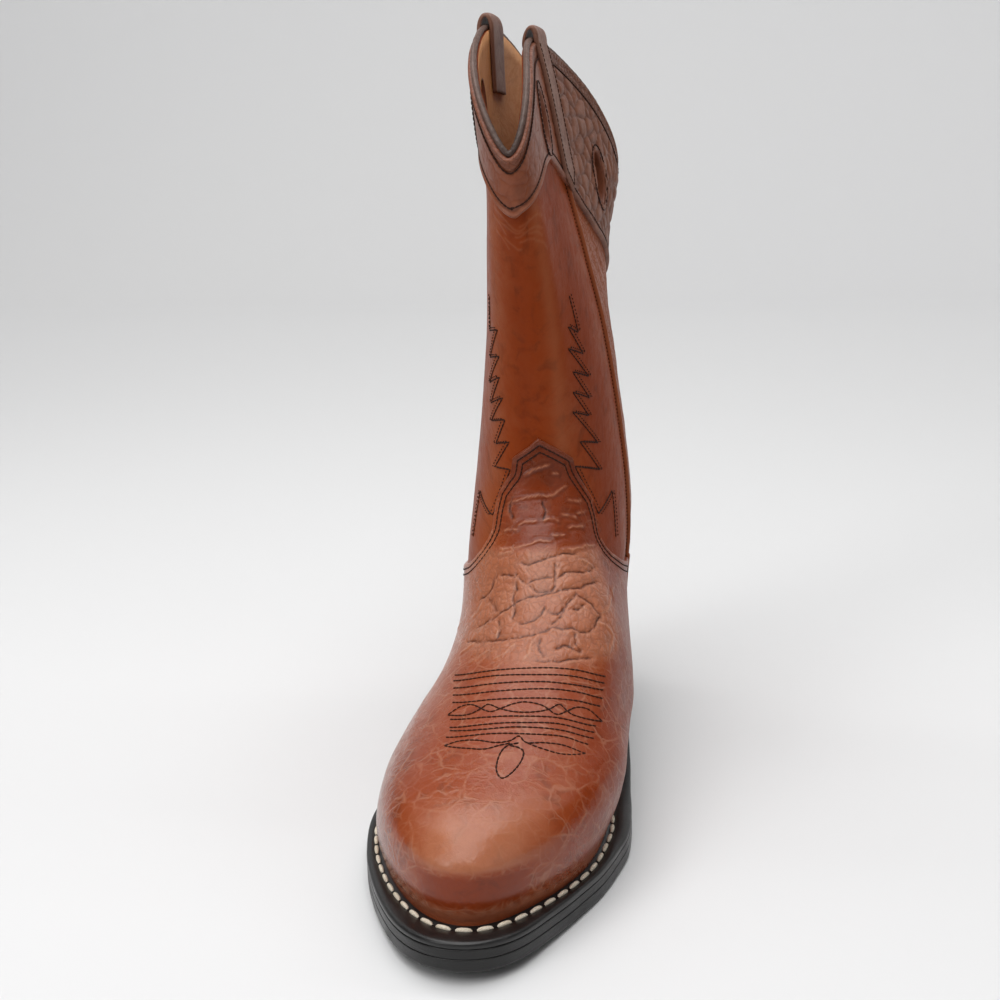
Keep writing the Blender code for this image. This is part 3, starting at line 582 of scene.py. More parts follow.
SHAFT_WRINKLES = [
    [(-4.6, 1.79), (-2.6, 1.806), (-.6, 1.806), (1.2, 1.797), (2.6, 1.803)],
    [(-3.6, 1.776), (-1.8, 1.793), (.4, 1.795), (1.4, 1.785)],
    [(.6, 1.81), (2.4, 1.8), (4.2, 1.785), (5.4, 1.762)],
    [(-.2, 1.785), (1.8, 1.782), (3.6, 1.766), (4.8, 1.742)],
    [(-5, 1.765), (-3.4, 1.772), (-2.2, 1.768)],
    [(2.2, 1.772), (3.8, 1.75), (4.6, 1.728)],
    [(.4, 1.77), (2, 1.76), (3.2, 1.742)],
    [(-2.6, 1.752), (-1, 1.756), (.4, 1.75)],
    [(3.4, 1.735), (4.6, 1.71), (5.2, 1.685)],
    [(-4.4, 1.74), (-3, 1.742), (-1.8, 1.735)],
]


WRINKLE_HIGH, WRINKLE_WIDE = 0.12, 0.45
TROUGH_DEEP, TROUGH_AT = 0.03, 1.4


def wrinkled(points):
    """Relief of the shaft's wrinkles, with a shallow trough to both sides, and how close each place is to one."""
    relief, close = np.zeros(points.shape[:-1]), np.zeros(points.shape[:-1])
    for line in SHAFT_WRINKLES:
        gap = near_line(points, trail(line, 0.0, 0.5)[2])
        here = hill(gap, 0, WRINKLE_WIDE)
        relief = relief + WRINKLE_HIGH * here * (1 - close)
        relief = relief - TROUGH_DEEP * hill(gap, TROUGH_AT, TROUGH_AT / 2)
        close = np.maximum(close, here)
    return relief, close


def nearest(points, lines):
    """Distance of each place to the nearest of many lines, that line's level, and how strong it is there.

    Places are pushed about a little, so that the lines wander; lines fade at their ends.
    """
    trails = [trail(line, 0.0, 0.3) for line in lines]
    spots, levels = (np.concatenate([found[i] for found in trails]) for i in (2, 1))
    fades = np.concatenate([np.clip(0.6 + 2 * np.sin(np.pi * np.linspace(0, 1, len(found[1]))), 0, 1)
                            for found in trails])
    tree = KDTree(len(spots))
    for i, spot in enumerate(spots):
        tree.insert(spot, i)
    tree.balance()
    flat = points.reshape(-1, 3)
    flat = flat + 0.24 * np.sin(flat[:, [1, 2, 0]] * 1.1) + 0.12 * np.sin(flat[:, [2, 0, 1]] * 2.7 + 1)
    gap, which = np.full(len(flat), FAR), np.zeros(len(flat), int)
    for i in around_line(flat, spots):
        _, which[i], far = tree.find(flat[i])
        gap[i] = min(far, FAR)
    shape = points.shape[:-1]
    return gap.reshape(shape), levels[which].reshape(shape), fades[which].reshape(shape)


# ---------------------------------------------------------------- leather panels
EDGE_ROWS = np.array([0.0, 0.0, 0.2, 0.5])  # rows of a panel's rounded edge, in millimetres from its cut
EDGE_WIDE, EDGE_RADIUS = 0.95, 0.9
PULL_ROLL, PULL_ROLL_AT, PULL_ROLL_WIDE = 0.5, 1.4, 1.1  # raised leather around a pull hole


def spread(lines, length):
    """Places from 0 to 1 along a panel's side, with close rows at its rounded edges.

    lines is their number, or a list of (place, number of lines up to it).
    """
    edge = EDGE_ROWS / length
    if isinstance(lines, int):
        lines = [(1.0, lines)]
    ends, counts = np.array([(0.0, 0)] + lines).T
    inner = np.interp(np.arange(counts.sum() + 1), np.cumsum(counts), ends)
    inner = EDGE_WIDE / length + (1 - 2 * EDGE_WIDE / length) * inner
    return np.concatenate([edge, inner, 1 - edge[::-1]])


def panel_grid(turns, low, high, rows, columns):
    """Turn and level of a panel's grid, how far inside its edge each place is, its foot and its points."""
    start, end = turns
    full = np.linspace(start, end, len(low))
    middle = skin(full, 0.3 * low + 0.7 * high)
    width = np.linalg.norm(np.diff(middle, axis=0), axis=1).sum()
    turn = start + (end - start) * spread(columns, width)
    low, high = np.interp(turn, full, low), np.interp(turn, full, high)
    s = spread(rows, np.mean(np.linalg.norm(skin(turn, high) - skin(turn, low), axis=1)) * 1.1)
    level = low + (high - low) * s[:, None]
    turn = np.broadcast_to(turn, level.shape).copy()
    points = skin(turn, level)
    up, side = lengths(points, 0), lengths(points, 1)
    inside = np.minimum(np.minimum(up, up[-1:] - up), np.minimum(side, side[:, -1:] - side))
    foot = np.zeros(level.shape, bool)
    foot[[0, -1]] = True
    foot[:, [0, -1]] = True
    return turn, level, inside, foot, points


def rolled(inside, roll=0.0):
    """Height of a panel's face above the skin: rounded at its edge, with a raised roll along it."""
    u = np.clip(1 - inside / EDGE_RADIUS, 0, 1)
    return FACE - EDGE_RADIUS + EDGE_RADIUS * np.sqrt(1 - u * u) + roll * hill(inside, 1.2, 0.9)


class Hole:
    """An oval pull hole: places on it by angle, and how far others lie from its middle."""

    def __init__(self, turn, level):
        self.turn, self.level = turn, level
        self.at = skin(turn, level)
        out = outward(np.array(turn / TURNS), np.array(level))
        out[2] = 0
        self.out = unit(out)
        self.across = np.array([-self.out[1], self.out[0], 0.0])

    def local(self, points):
        gap = points - self.at
        return gap @ self.across, gap[..., 2], gap @ self.out

    def moved(self, turn, level, x, z):
        """The turn and level that lie at x across and z up from the middle."""
        d = 1e-2
        for _ in range(6):
            here = self.local(skin(turn, level))
            by_turn = self.local(skin(turn + d, level))
            by_level = self.local(skin(turn, level + d / 8))
            a, b = (by_turn[0] - here[0]) / d, (by_level[0] - here[0]) * 8 / d
            c, e = (by_turn[1] - here[1]) / d, (by_level[1] - here[1]) * 8 / d
            dx, dz = x - here[0], z - here[1]
            det = a * e - b * c
            turn = turn + np.clip((e * dx - b * dz) / det, -1, 1)
            level = np.clip(level + np.clip((a * dz - c * dx) / det, -0.05, 0.05), 0, 2)
        return turn, level

    def ring(self, grow, count=72):
        bend = circle(count)
        x, z = (HOLE_WIDE / 2 + grow) * np.cos(bend), (HOLE_TALL / 2 + grow) * np.sin(bend)
        return self.moved(np.full(count, self.turn), np.full(count, self.level), x, z)


HOLES = [Hole(*at) for at in PULL_HOLES]


def punched(turn, level):
    """Moves the places inside a pull hole to its edge; says which were inside and how far off the rest are."""
    points = skin(turn, level)
    gone = np.zeros(turn.shape, bool)
    away = np.full(turn.shape, 30.0)
    for hole in HOLES:
        x, z, out = hole.local(points)
        r = np.hypot(2 * x / HOLE_WIDE, 2 * z / HOLE_TALL)
        near = np.abs(out) < 9
        inside = near & (r < 1)
        if inside.any():
            r_in = np.maximum(r[inside], 1e-3)
            turn[inside], level[inside] = hole.moved(turn[inside], level[inside], x[inside] / r_in, z[inside] / r_in)
        gone |= inside
        away = np.where(near, np.minimum(away, np.abs(r - 1) * np.hypot(x, z) / np.maximum(r, 1e-3)), away)
    return gone, away


def panel(name, node, turns, low, high, rows, columns, finish, roll, holes=False):
    """A leather piece over the upper between two edges. finish gives its relief and fields."""
    turn, level, inside, foot, points = panel_grid(turns, low, high, rows, columns)
    faces = grid_faces(*turn.shape)
    ring = 0.0
    if holes:
        gone, away = punched(turn, level)
        points = skin(turn, level)
        faces = faces[~gone.ravel()[faces].all(1)]
        ring = PULL_ROLL * hill(away, PULL_ROLL_AT, PULL_ROLL_WIDE)
    relief, fields = finish(turn, level, inside, points)
    off = rolled(inside, roll) + relief * ease(inside / 3) + ring
    off[foot] = -0.2
    piece(name, skin(turn, level, off), faces, [node + "_leather"], node, place=points, **fields)


def vamp_finish(turn, level, inside, points):
    crack, crack_level, crack_fade = nearest(points, CRACKS)
    ridge, _, ridge_fade = nearest(points, RIDGES)
    up = points[..., 2] - seat(points[..., 0])
    # the instep between its cracks, and what lies along a crack or ridge: painted shade in each crack and a painted
    # shadow above it, and a pale lip below it and pale ridge tops, each partly rubbed finish and partly painted
    # highlight
    stone = rise(level, 0.49, 0.05) * fall(level, 0.87, 0.05) * rise(turn, -9, 4) * fall(turn, 8.5, 2.5)
    close = hill(crack, 0, 0.38) * crack_fade
    over = np.exp(-crack / 1.1) * crack_fade * (level > crack_level)
    lip = hill(crack, 1.0, 0.5) * crack_fade * (level < crack_level)
    pale = hill(ridge, 0, 0.42) * ridge_fade
    shoulders = (hill(turn, 5.4, 2.6) + hill(turn, -5.0, 2.6)) * hill(level, 0.16, 0.1)
    relief = stone * (0.5 * (1 - np.exp(-crack / 2.0)) - 0.3) - 0.25 * close + 2.2 * shoulders
    relief = relief + (0.26 * hill(ridge, 0, 0.55) - 0.14 * hill(ridge, 1.7, 0.8)) * ridge_fade
    # zones of tone: the tongue and what is below it; darker towards the feather line; the inner flank, darker and
    # more saturated as painted shade; the outer flank, darker low down and paler higher up as a painted sheen; on
    # the toe a painted highlight above a painted dark reflection; and a pale band above the welt, a painted
    # reflection of the floor
    top = rise(level, 0.83, 0.06) * np.exp(-((turn - 1.4) / 5.4) ** 6)
    tongue = rise(level, 1.06, 0.08)
    low = hill(up, 0, 3.0)
    # painted shade on the inner flank
    inner = rise(turn, 4.0, 3.5) * rise(up, 3, 5)
    # the outer flank: painted sheen higher up, darker low down
    outer = fall(turn, -3.5, 3) * rise(up, 4, 8)
    toe = fall(level, 0.34, 0.06) * np.exp(-((turn + 0.5) / 9) ** 4)
    # painted dark reflection low on the toe, below its painted highlight
    painted_dark_reflection = fall(level, 0.148, 0.012) * rise(level, 0.062, 0.022) * rise(turn, -2.7, 0.9) * fall(turn, 4.1, 1.1)
    # painted highlight on the toe
    painted_toe_highlight = rise(level, 0.15, 0.012) * fall(level, 0.3, 0.09) * np.exp(-((turn - 0.7) / 3.2) ** 4)
    # painted reflection of the floor, a pale band above the welt
    painted_floor_reflection = hill(level, 0.04, 0.02) * np.exp(-(turn / 9) ** 4)
    forefoot = fall(level, 0.52, 0.08) * (1 - painted_toe_highlight) * rise(turn, -9, 4)
    # Shade: painted shade in the cracks, a painted shadow above each crack and beside the ridges, painted shade on
    # the inner flank and in the toe's painted dark reflection; darker too towards the feather line, low on the outer
    # flank, and on the leather of the tongue and the plates below it.
    shade = 0.85 * close + 0.22 * over + 0.5 * low + 0.12 * painted_dark_reflection + 0.16 * inner * (1 - stone)
    shade = shade + 0.2 * outer * fall(level, 0.36, 0.1)
    shade = shade + (0.2 * top + 0.25 * tongue) * (1 - pale) + 0.15 * hill(ridge, 1.3, 0.6) * top
    # Paler: real wear at the cut edge; the stones, the crack lips and the ridge tops partly rubbed finish and partly
    # painted sheen and highlight; painted sheen on the outer flank, the toe's painted highlight and the painted floor
    # reflection above the welt.
    worn = 0.42 * stone * (1 - close) + 0.25 * lip + 0.8 * pale + 0.1 * hill(inside, 1.0, 0.8)
    worn = worn + 0.12 * outer * rise(level, 0.3, 0.12) + 0.5 * painted_toe_highlight + 0.3 * painted_floor_reflection
    # Saturated: painted shade on the inner flank and in the toe's painted dark reflection, with the leather's own
    # richer plates and forefoot.
    rich = 0.95 * inner * (1 - 0.5 * stone) + painted_dark_reflection + 0.95 * top + 0.6 * forefoot
    vein = (1 - 0.6 * stone) * (1 - 0.7 * top) * rise(up, 5, 6) * (1 - 0.6 * painted_toe_highlight) * (1 - painted_dark_reflection)
    return relief, dict(
        cell=0.12 + 0.6 * stone,
        shade=np.clip(shade, 0, 0.9),
        worn=np.clip(worn * (1 - painted_dark_reflection), 0, 0.85),
        rich=np.clip(rich, 0, 1),
        vein=np.clip(vein, 0, 1),
        polish=np.clip(toe + 0.4 * stone - 0.9 * inner, -1, 1),
    )


def counter_finish(turn, level, inside, points):
    up = points[..., 2] - seat(points[..., 0])
    relief = 0.25 * np.sin(points[..., 2] / 9) * np.sin(turn * 0.9)
    return relief, dict(cell=0.1, shade=0.5 * hill(up, 0, 4.0), worn=0.3 * hill(inside, 1, 0.8), rich=0.35, vein=0.9)


def rim_gap(turn, level):
    """Height below the rim."""
    return (2 - level) * (rim(turn / TURNS) - ANKLE_HEIGHT)


def bumps(points, size, seed):
    """Rounded bumps about that far apart, from 0 in the furrows to 1."""
    rng = np.random.default_rng(seed)
    flat = points.reshape(-1, 3)
    low, high = flat.min(0), flat.max(0)
    count = (np.ceil((high - low) / size) + 1).astype(int)
    middles = np.stack(np.meshgrid(*[np.arange(n) for n in count], indexing="ij"), -1).reshape(-1, 3)
    middles = low + (middles + rng.uniform(-0.45, 0.45, middles.shape)) * size
    tops = np.full(len(flat), 9.0)
    for part in np.array_split(np.arange(len(flat)), max(1, len(flat) // 3000)):
        close = ((middles > flat[part].min(0) - size) & (middles < flat[part].max(0) + size)).all(1)
        gaps = np.sqrt(((flat[part][:, None] - middles[close][None]) ** 2).sum(-1))
        gaps.partition(1, axis=1)
        tops[part] = (gaps[:, 1] - gaps[:, 0]) / size
    return np.sqrt(1 - (1 - np.clip(tops / 0.55, 0, 1)) ** 2).reshape(points.shape[:-1])


RIM_BAND = 6.5  # width of the smooth band along the rim


def collar_finish(size, depth, cells, furrow_shade, top):
    """Finish of a collar by the size and depth of its bumps, its cells, painted shade in its furrows and painted
    highlight on top.
    """
    def finish(turn, level, inside, points):
        gap = rim_gap(turn, level)
        border, edge = fall(gap, RIM_BAND, 1.0), hill(gap, RIM_BAND, 0.9)
        bump = bumps(points, size, 3)
        relief = depth * (bump - 0.6) * rise(gap, 7.6, 1.6) * rise(inside, 3.8, 1.6) - 0.35 * edge
        # Painted shade in the groove at the border's edge and in the furrows between the bumps; darker too along a
        # line inside the cut edge and over the smooth border.
        shade = 0.2 * hill(inside, 3.4, 0.7) + 0.2 * border + 0.4 * edge + furrow_shade * (1 - bump) * (1 - border)
        # Paler: painted highlight on the bumps' tops; real wear at the cut edge and a little over the border.
        worn = 0.08 * border + top * bump * (1 - border) + 0.2 * hill(inside, 1.2, 0.8)
        cell = cells * (1 - border) + 0.9 * border
        return relief, dict(cell=cell, shade=shade, worn=worn, rich=0.3 * (1 - border))
    return finish


def edge_level(rows, turn):
    """Level of a cut edge, with the corners that its table gives."""
    return np.interp(turn, rows["turn"], rows["level"])


FRONT_SPAN, BACK_SPAN = (-15.88, 15.88), (16.12, 47.88)  # turns between the side seams
span = np.linspace(*FRONT_SPAN, 800)
feather, below_rim = 0 * span + 0.004, 0 * span + 1.999
vamp_rows = [(0.38, 95), (0.8, 185), (1.0, 50)]
vamp_columns = [(0.26, 56), (0.77, 165), (1.0, 50)]
panel("vamp_skin", "vamp", FRONT_SPAN, feather, edge_level(VAMP_EDGE, span),
      vamp_rows, vamp_columns, vamp_finish, roll=0.3)
panel("counter_skin", "counter", BACK_SPAN, feather, smooth(COUNTER_EDGE, "turn", "level", span + TURNS / 2),
      90, 190, counter_finish, roll=0.25)
# The furrows get painted shade and the bumps' tops painted highlight, stronger on the back collar.
smooth_front = collar_finish(size=6.0, depth=0.25, cells=0.1, furrow_shade=0.1, top=0.1)
bumpy_back = collar_finish(size=8.5, depth=1.3, cells=0.12, furrow_shade=0.3, top=0.2)
panel("collar_front_skin", "collar_front", FRONT_SPAN, edge_level(COLLAR_EDGE, span), below_rim,
      90, 230, smooth_front, roll=0.6, holes=True)
panel("collar_back_skin", "collar_back", BACK_SPAN, smooth(COLLAR_EDGE, "turn", "level", span + TURNS / 2), below_rim,
      100, 240, bumpy_back, roll=0.6, holes=True)


# ---------------------------------------------------------------- shaft with its lining
def behind_seams(turn):
    """0 on the shaft's front, 1 behind its side seams; turn from -16 to 48."""
    return rise(np.abs(turn), 15.9, 0.2)


def shaft_waves(turn, level):
    """Soft upright waves of the shaft's front."""
    wave = 0.8 * hill(turn, 5.2, 1.6) - 0.8 * hill(turn, -1.5, 2.6) + 0.5 * hill(turn, -6.5, 1.5)
    return wave * rise(level, 1.15, 0.2) * fall(level, 1.85, 0.15) * (1 - behind_seams(turn))


def shaft_finish(turn, level, points):
    """Relief and fields of the shaft's outside: smooth in front, rough and crumpled behind the seams, with painted
    shade and painted highlights in upright bands on the front.
    """
    rear = behind_seams(turn)
    front = 1 - rear
    wrinkles, close = wrinkled(points)
    crumple = 0.4 * np.sin(level * 60 + turn * 1.1) * np.sin(turn * 1.9 + level * 21) * rear
    relief = wrinkles + shaft_waves(turn, level) + crumple * rise(level, 1.1, 0.2) * fall(level, 1.7, 0.1)
    return relief, dict(
        cell=0.12 + 0.75 * rear,
        # painted shade: darker, more saturated upright bands down the middle of the front and on the inner side
        shade=(0.16 * hill(turn, -0.8, 2.6) + 0.14 * hill(turn, 10, 2.6)) * front,
        # paler behind the seams and along the wrinkles, with painted highlights in pale upright bands at turns -6 and
        # 4.2
        worn=0.3 * rear + 0.35 * close + 0.22 * hill(turn, -6, 1.6) + 0.24 * hill(turn, 4.2, 1.0),
        rich=(0.75 * hill(turn, 0, 3.6) + 0.8 * hill(turn, 9.5, 4)) * front,
        polish=-1.0 * hill(turn, 11, 4) * front,
    )


def make_shaft():
    turn = 48 + np.arange(320) * TURNS / 320
    count = len(turn)
    outer_level = np.concatenate([
        np.linspace(0.42, 1.67, 120),
        np.linspace(1.674, 1.83, 62),  # close rows for the wrinkles
        np.linspace(1.84, 2, 16),
    ])
    inner_level = np.linspace(0.0, 2.0, 80)
    parts, faces, looks, fields = [], [], [], []
    start = 0
    for inside, levels in ((False, outer_level), (True, inner_level)):
        level, around = np.meshgrid(levels, turn, indexing="ij")
        gone, _ = punched(around, level)
        points = skin(around, level)
        quads = grid_faces(*level.shape, around=True)
        quads = quads[~gone.ravel()[quads].all(1)]
        if inside:
            off = -WALL
            # painted shade on the lining, darker deeper down inside the shaft
            values = dict(cell=0.3, shade=0.3 * fall(level, 1.3, 1.3), worn=0.0, rich=0.0, polish=0.0)
            quads = quads[:, ::-1]
        else:
            off, values = shaft_finish((around + 16) % TURNS - 16, level, points)
        values = {key: np.broadcast_to(value, level.shape).ravel() for key, value in values.items()}
        fields.append(dict(values, place=flat_places(points, 40.0 * inside).reshape(-1, 3)))
        parts.append(skin(around, level, off).reshape(-1, 3))
        faces.append(quads + start)
        looks.append(np.full(len(quads), int(inside)))
        start += level.size
    top_out = (len(outer_level) - 1) * count + np.arange(count)
    top_in = start - count + np.arange(count)
    faces.append(np.stack([top_out, np.roll(top_out, -1), np.roll(top_in, -1), top_in], 1))
    looks.append(np.zeros(count))
    fields = {key: np.concatenate([side[key] for side in fields]) for key in fields[0]}
    piece("shaft", np.concatenate(parts), np.concatenate(faces), ["shaft_leather", "lining_leather"], "upper",
          look_of=np.concatenate(looks), **fields)


make_shaft()


# ---------------------------------------------------------------- bead, pull holes and straps
def tube(name, path, normal, radius, sides, look, node=None, closed=False, **fields):
    """A round cord along close places on the skin."""
    ahead = unit(np.roll(path, -1, 0) - np.roll(path, 1, 0) if closed else np.gradient(path, axis=0))
    side = unit(np.cross(normal, ahead))
    out = np.cross(ahead, side)
    bend = circle(sides)
    radius = np.broadcast_to(radius, len(path))[:, None, None]
    ring = side[:, None] * np.cos(bend)[:, None] + out[:, None] * np.sin(bend)[:, None]
    points = path[:, None] + ring * radius
    count = len(path)
    i = np.arange(count if closed else count - 1)[:, None]
    j = np.arange(sides)[None]
    n, k = (i + 1) % count, (j + 1) % sides
    faces = np.stack([i * sides + j, i * sides + k, n * sides + k, n * sides + j], -1).reshape(-1, 4)[:, ::-1]
    run = np.broadcast_to(lengths(path, 0)[:, None], (count, sides))
    at = np.stack([run, np.broadcast_to(bend * 1.6, (count, sides)), 0 * run + 70], -1)
    piece(name, points, faces, [look], node, place=at, **fields)


def make_bead():
    turn = np.arange(520) * TURNS / 520
    normal = outward(turn / TURNS, np.full(len(turn), 2.0))
    path = skin(turn, 2.0, (FACE - WALL) / 2)
    path[:, 2] += BEAD_RADIUS - 0.4
    normal[:, 2] = 0
    radius = BEAD_RADIUS * (1 + 0.03 * np.sin(turn * 5.1) + 0.03 * np.sin(turn * 12.7 + 1))
    shade = 0.7 * hill((turn + 31) % TURNS - 32, 0, 6)  # darker at the point of the front
    tube("collar_bead_roll", path, unit(normal), radius, 14, "bead_leather", "collar_bead", closed=True,
         cell=0.6, shade=shade[:, None], worn=0.2)


make_bead()


def make_hole_edges():
    """Turned leather edges of the pull holes, by a profile of (distance outside the hole, height off the skin)."""
    profile = [(0.5, FACE + 0.1), (0.1, FACE + 0.45), (-0.35, FACE + 0.2), (-0.5, FACE - 0.7), (-0.45, -1.0),
               (-0.3, -WALL - 0.15), (0.6, -WALL - 0.3)]
    parts, faces, start = [], [], 0
    for hole in HOLES:
        grid = np.array([skin(*hole.ring(grow), off) for grow, off in profile])
        parts.append(grid.reshape(-1, 3))
        faces.append(grid_faces(*grid.shape[:2], around=True)[:, ::-1] + start)
        start += grid.shape[0] * grid.shape[1]
    piece("pull_hole_edges", np.concatenate(parts), np.concatenate(faces), ["collar_front_leather"],
          cell=0.2, shade=0.35, worn=0.1)


make_hole_edges()


def make_strap(name, seam, front_sign):
    """A pull strap: up the outside over the seam, over the rim in a loop, and down the lining."""
    c = np.array([-1, -0.97, -0.9, -0.75, -0.5, -0.25, 0, 0.25, 0.5, 0.75, 0.9, 0.97, 1])
    columns = seam + front_sign * np.where(c < 0, c * STRAP_FRONT, c * STRAP_BACK)
    low = STRAP_TIP + STRAP_POINT * np.abs(c)
    up = np.concatenate([[0, 0.01, 0.03], np.linspace(0.06, 1, 44)])[:, None]
    outside = low + (2 - low) * up
    inside = 2 + (STRAP_INSIDE - 2) * np.linspace(0, 1, 24)[:, None] + 0 * low
    edge = np.sqrt(np.clip(1 - ((np.abs(c) - 0.88) / 0.12).clip(0) ** 2, 0, 1)) * 0.55 + 0.45
    start = np.concatenate([[0.35, 0.75, 0.95], np.ones(44)])[:, None]
    grids = []
    for base_out, base_in, thick in ((2 * GAP + OVERLAY - 0.4, -WALL - GAP, 0.0),
                                     (2 * GAP + OVERLAY, -WALL - GAP, STRAP_THICK)):
        rows = [skin(columns, outside, base_out + thick * edge * start)]
        first = skin(columns, 2.0, base_out + thick * edge)
        last = skin(columns, 2.0, base_in - thick * edge)
        bend = np.linspace(0, np.pi, 22)[1:-1, None, None]
        loop = (first + last) / 2 + (first - last) / 2 * np.cos(bend)
        loop[..., 2] += (STRAP_LOOP + thick * edge) * np.sin(bend[..., 0])
        rows += [loop, skin(columns, inside, base_in - thick * edge)]
        grids.append(np.concatenate(rows))
    rows, width = grids[0].shape[:2]
    count = rows * width
    top, under = grid_faces(rows, width), grid_faces(rows, width)[:, ::-1]
    if front_sign < 0:
        top, under = top[:, ::-1], under[:, ::-1]
    faces = [top + count, under]
    for j, turned in ((0, front_sign > 0), (width - 1, front_sign < 0)):
        a = np.arange(rows - 1) * width + j
        side = np.stack([a, a + count, a + count + width, a + width], 1)
        faces.append(side[:, ::-1] if not turned else side)
    for row, turned in ((0, front_sign < 0), (rows - 1, front_sign > 0)):
        a = row * width + np.arange(width - 1)
        side = np.stack([a, a + 1, a + 1 + count, a + count], 1)
        faces.append(side[:, ::-1] if turned else side)
    at = np.array([flat_places(grid, 90.0 + seam) for grid in grids])
    piece(name + "_loop", np.array(grids), np.concatenate(faces), ["pull_strap_leather"], name, name + "_leather",
          place=at, cell=0.3, shade=0.25 * (np.abs(c) > 0.95), worn=0.15)


make_strap("pull_strap_medial", 16, 1)
make_strap("pull_strap_lateral", 48, -1)


# ---------------------------------------------------------------- sole
def evened(values, over=6):
    """Values around a ring, averaged with their neighbours so that no corner is left."""
    return sum(np.roll(values, by) for by in range(-over, over + 1)) / (2 * over + 1)


def sideways(ahead):
    """Level directions out of the sole, from those along its edge."""
    return unit(np.stack([ahead[:, 1], -ahead[:, 0], 0 * ahead[:, 0]], -1))


def sole_line(inset, heights):
    """The sole's outline moved in by a distance, at heights that follow the foot."""
    line = outer_face(SOLE_TURNS / TURNS, 0.0)
    side = sideways(np.roll(line, -1, 0) - np.roll(line, 1, 0))
    ring = line + side * (SOLE_MARGIN - inset)[:, None]
    ring[:, 2] = heights(ring[:, 0])
    return ring


def quarters(count):
    """Turns around the sole, closer at the ball, the same in each quarter."""
    u = np.arange(count) / count
    u = u + 0.35 * np.sin(2 * np.pi * u) / (2 * np.pi)
    return np.concatenate([(start + u) * 16 for start in range(4)])


SOLE_TURNS = quarters(80)
SOLE_MARGIN = evened(sole_margin(SOLE_TURNS, outer_face(SOLE_TURNS / TURNS, 0.0)[:, 0]))


def sole_layer(name, base, profile, look):
    """A layer of the sole from a profile of (inset, height), closed below and above."""
    rings = [sole_line(inset, lambda along, up=up: sole_under(along) + base + up) for inset, up in profile]
    size = len(SOLE_TURNS)
    half = np.arange(size // 2)
    ladder = np.stack([half, half + 1, size - 1 - half, (size - half) % size], 1)
    faces = [grid_faces(len(rings), size, around=True), ladder[:, ::-1], ladder + (len(rings) - 1) * size]
    piece(name + "_edge", np.concatenate(rings), np.concatenate(faces), [look], name)


def bow(high, round_low, round_high, rows):
    """Profile of a layer's edge with rounded lips, as (inset, height)."""
    heights = np.linspace(0, high, rows)
    inset = round_low * np.clip(1 - heights / round_low, 0, 1) ** 2
    inset = inset + round_high * np.clip(1 - (high - heights) / round_high, 0, 1) ** 2
    return [(inset[0] + 4, 0)] + list(zip(inset, heights)) + [(inset[-1] + 4, high)]


LIP = 0.12  # rounding where two layers meet
MIDSOLE_IN, MIDSOLE_DOWN = 0.05, 0.1
sole_layer("outsole", 0.0, bow(OUTSOLE, EDGE_ROUND, LIP, rows=21), "outsole_black")
sole_layer("midsole", OUTSOLE + GAP - MIDSOLE_DOWN,
           [(inward + MIDSOLE_IN, up) for inward, up in bow(MIDSOLE, LIP, LIP, rows=13)], "midsole_black")

GROOVE_AT, GROOVE_HALF = 4.6, 1.7  # middle of the welt's stitch groove outside the feather line


def welt_line(start):
    """The feather line around the forefoot from a place along the foot, its sideways directions and margins."""
    turn = np.concatenate([SOLE_TURNS - TURNS, SOLE_TURNS])
    line = outer_face(turn / TURNS, 0.0)
    kept = (line[:, 0] >= start) & (np.abs(turn) < 20)
    line = line[kept]
    return line, sideways(np.gradient(line, axis=0)), np.tile(SOLE_MARGIN, 2)[kept]


def make_welt():
    line, side, margin = welt_line(WELT_END)
    groove = [(0.8, 0.0), (0.8, WELT - 0.2), (1.8, WELT), (GROOVE_AT - GROOVE_HALF, WELT),
              (GROOVE_AT - 1.1, WELT - 0.35), (GROOVE_AT, WELT - 0.7), (GROOVE_AT + 1.1, WELT - 0.35),
              (GROOVE_AT + GROOVE_HALF, WELT)]
    lip = [(0.45, 0.02), (0.7, 0.06), (0.85, 0.22), (0.95, 0.6), (1.0, 1.1), (1.0, 1.9), (0.97, WELT)]
    reach = (margin - GROOVE_AT - GROOVE_HALF).clip(0.3)
    thin = 0.25 + 0.75 * rise(line[:, 0], WELT_END, 12)
    rows = [(np.minimum(out, margin - 1.2), up) for out, up in groove]
    rows += [(GROOVE_AT + GROOVE_HALF + reach * share, WELT - drop) for share, drop in lip]
    grid = []
    for out, up in rows:
        ring = line + side * out[:, None]
        ring[:, 2] = seat(ring[:, 0]) + up * thin
        grid.append(ring)
    grid = np.array(grid)
    piece("welt_strip", grid, grid_faces(*grid.shape[:2])[:, ::-1], ["welt_black"], "welt")


make_welt()


def heel_line(height, inset=0.0):
    ring = sole_line(LAYER_STEP + inset, lambda along: 0 * along)
    kept = ring[ring[:, 0] <= HEEL_BREAST - inset]
    down = 1 - height / HEEL_RISE
    share = np.clip(1 - kept[:, 0] / HEEL_BREAST, 0, 1)
    kept[:, 0] += HEEL_UNDERCUT * down * share
    kept[:, 1] -= np.sign(kept[:, 1]) * np.minimum(HEEL_TAPER * down, np.abs(kept[:, 1]))
    at = np.linspace(0, 1, 120)
    run = lengths(kept, 0)
    back = np.stack([np.interp(at * run[-1], run, kept[:, i]) for i in range(3)], 1)
    front = np.linspace(0, 1, 32)[1:-1, None]
    breast = back[-1] + (back[0] - back[-1]) * front
    breast[:, 0] = HEEL_BREAST - inset - 1.5 * np.sin(np.pi * front[:, 0])
    ring = np.concatenate([back, breast])
    ring[:, 2] = height
    return ring


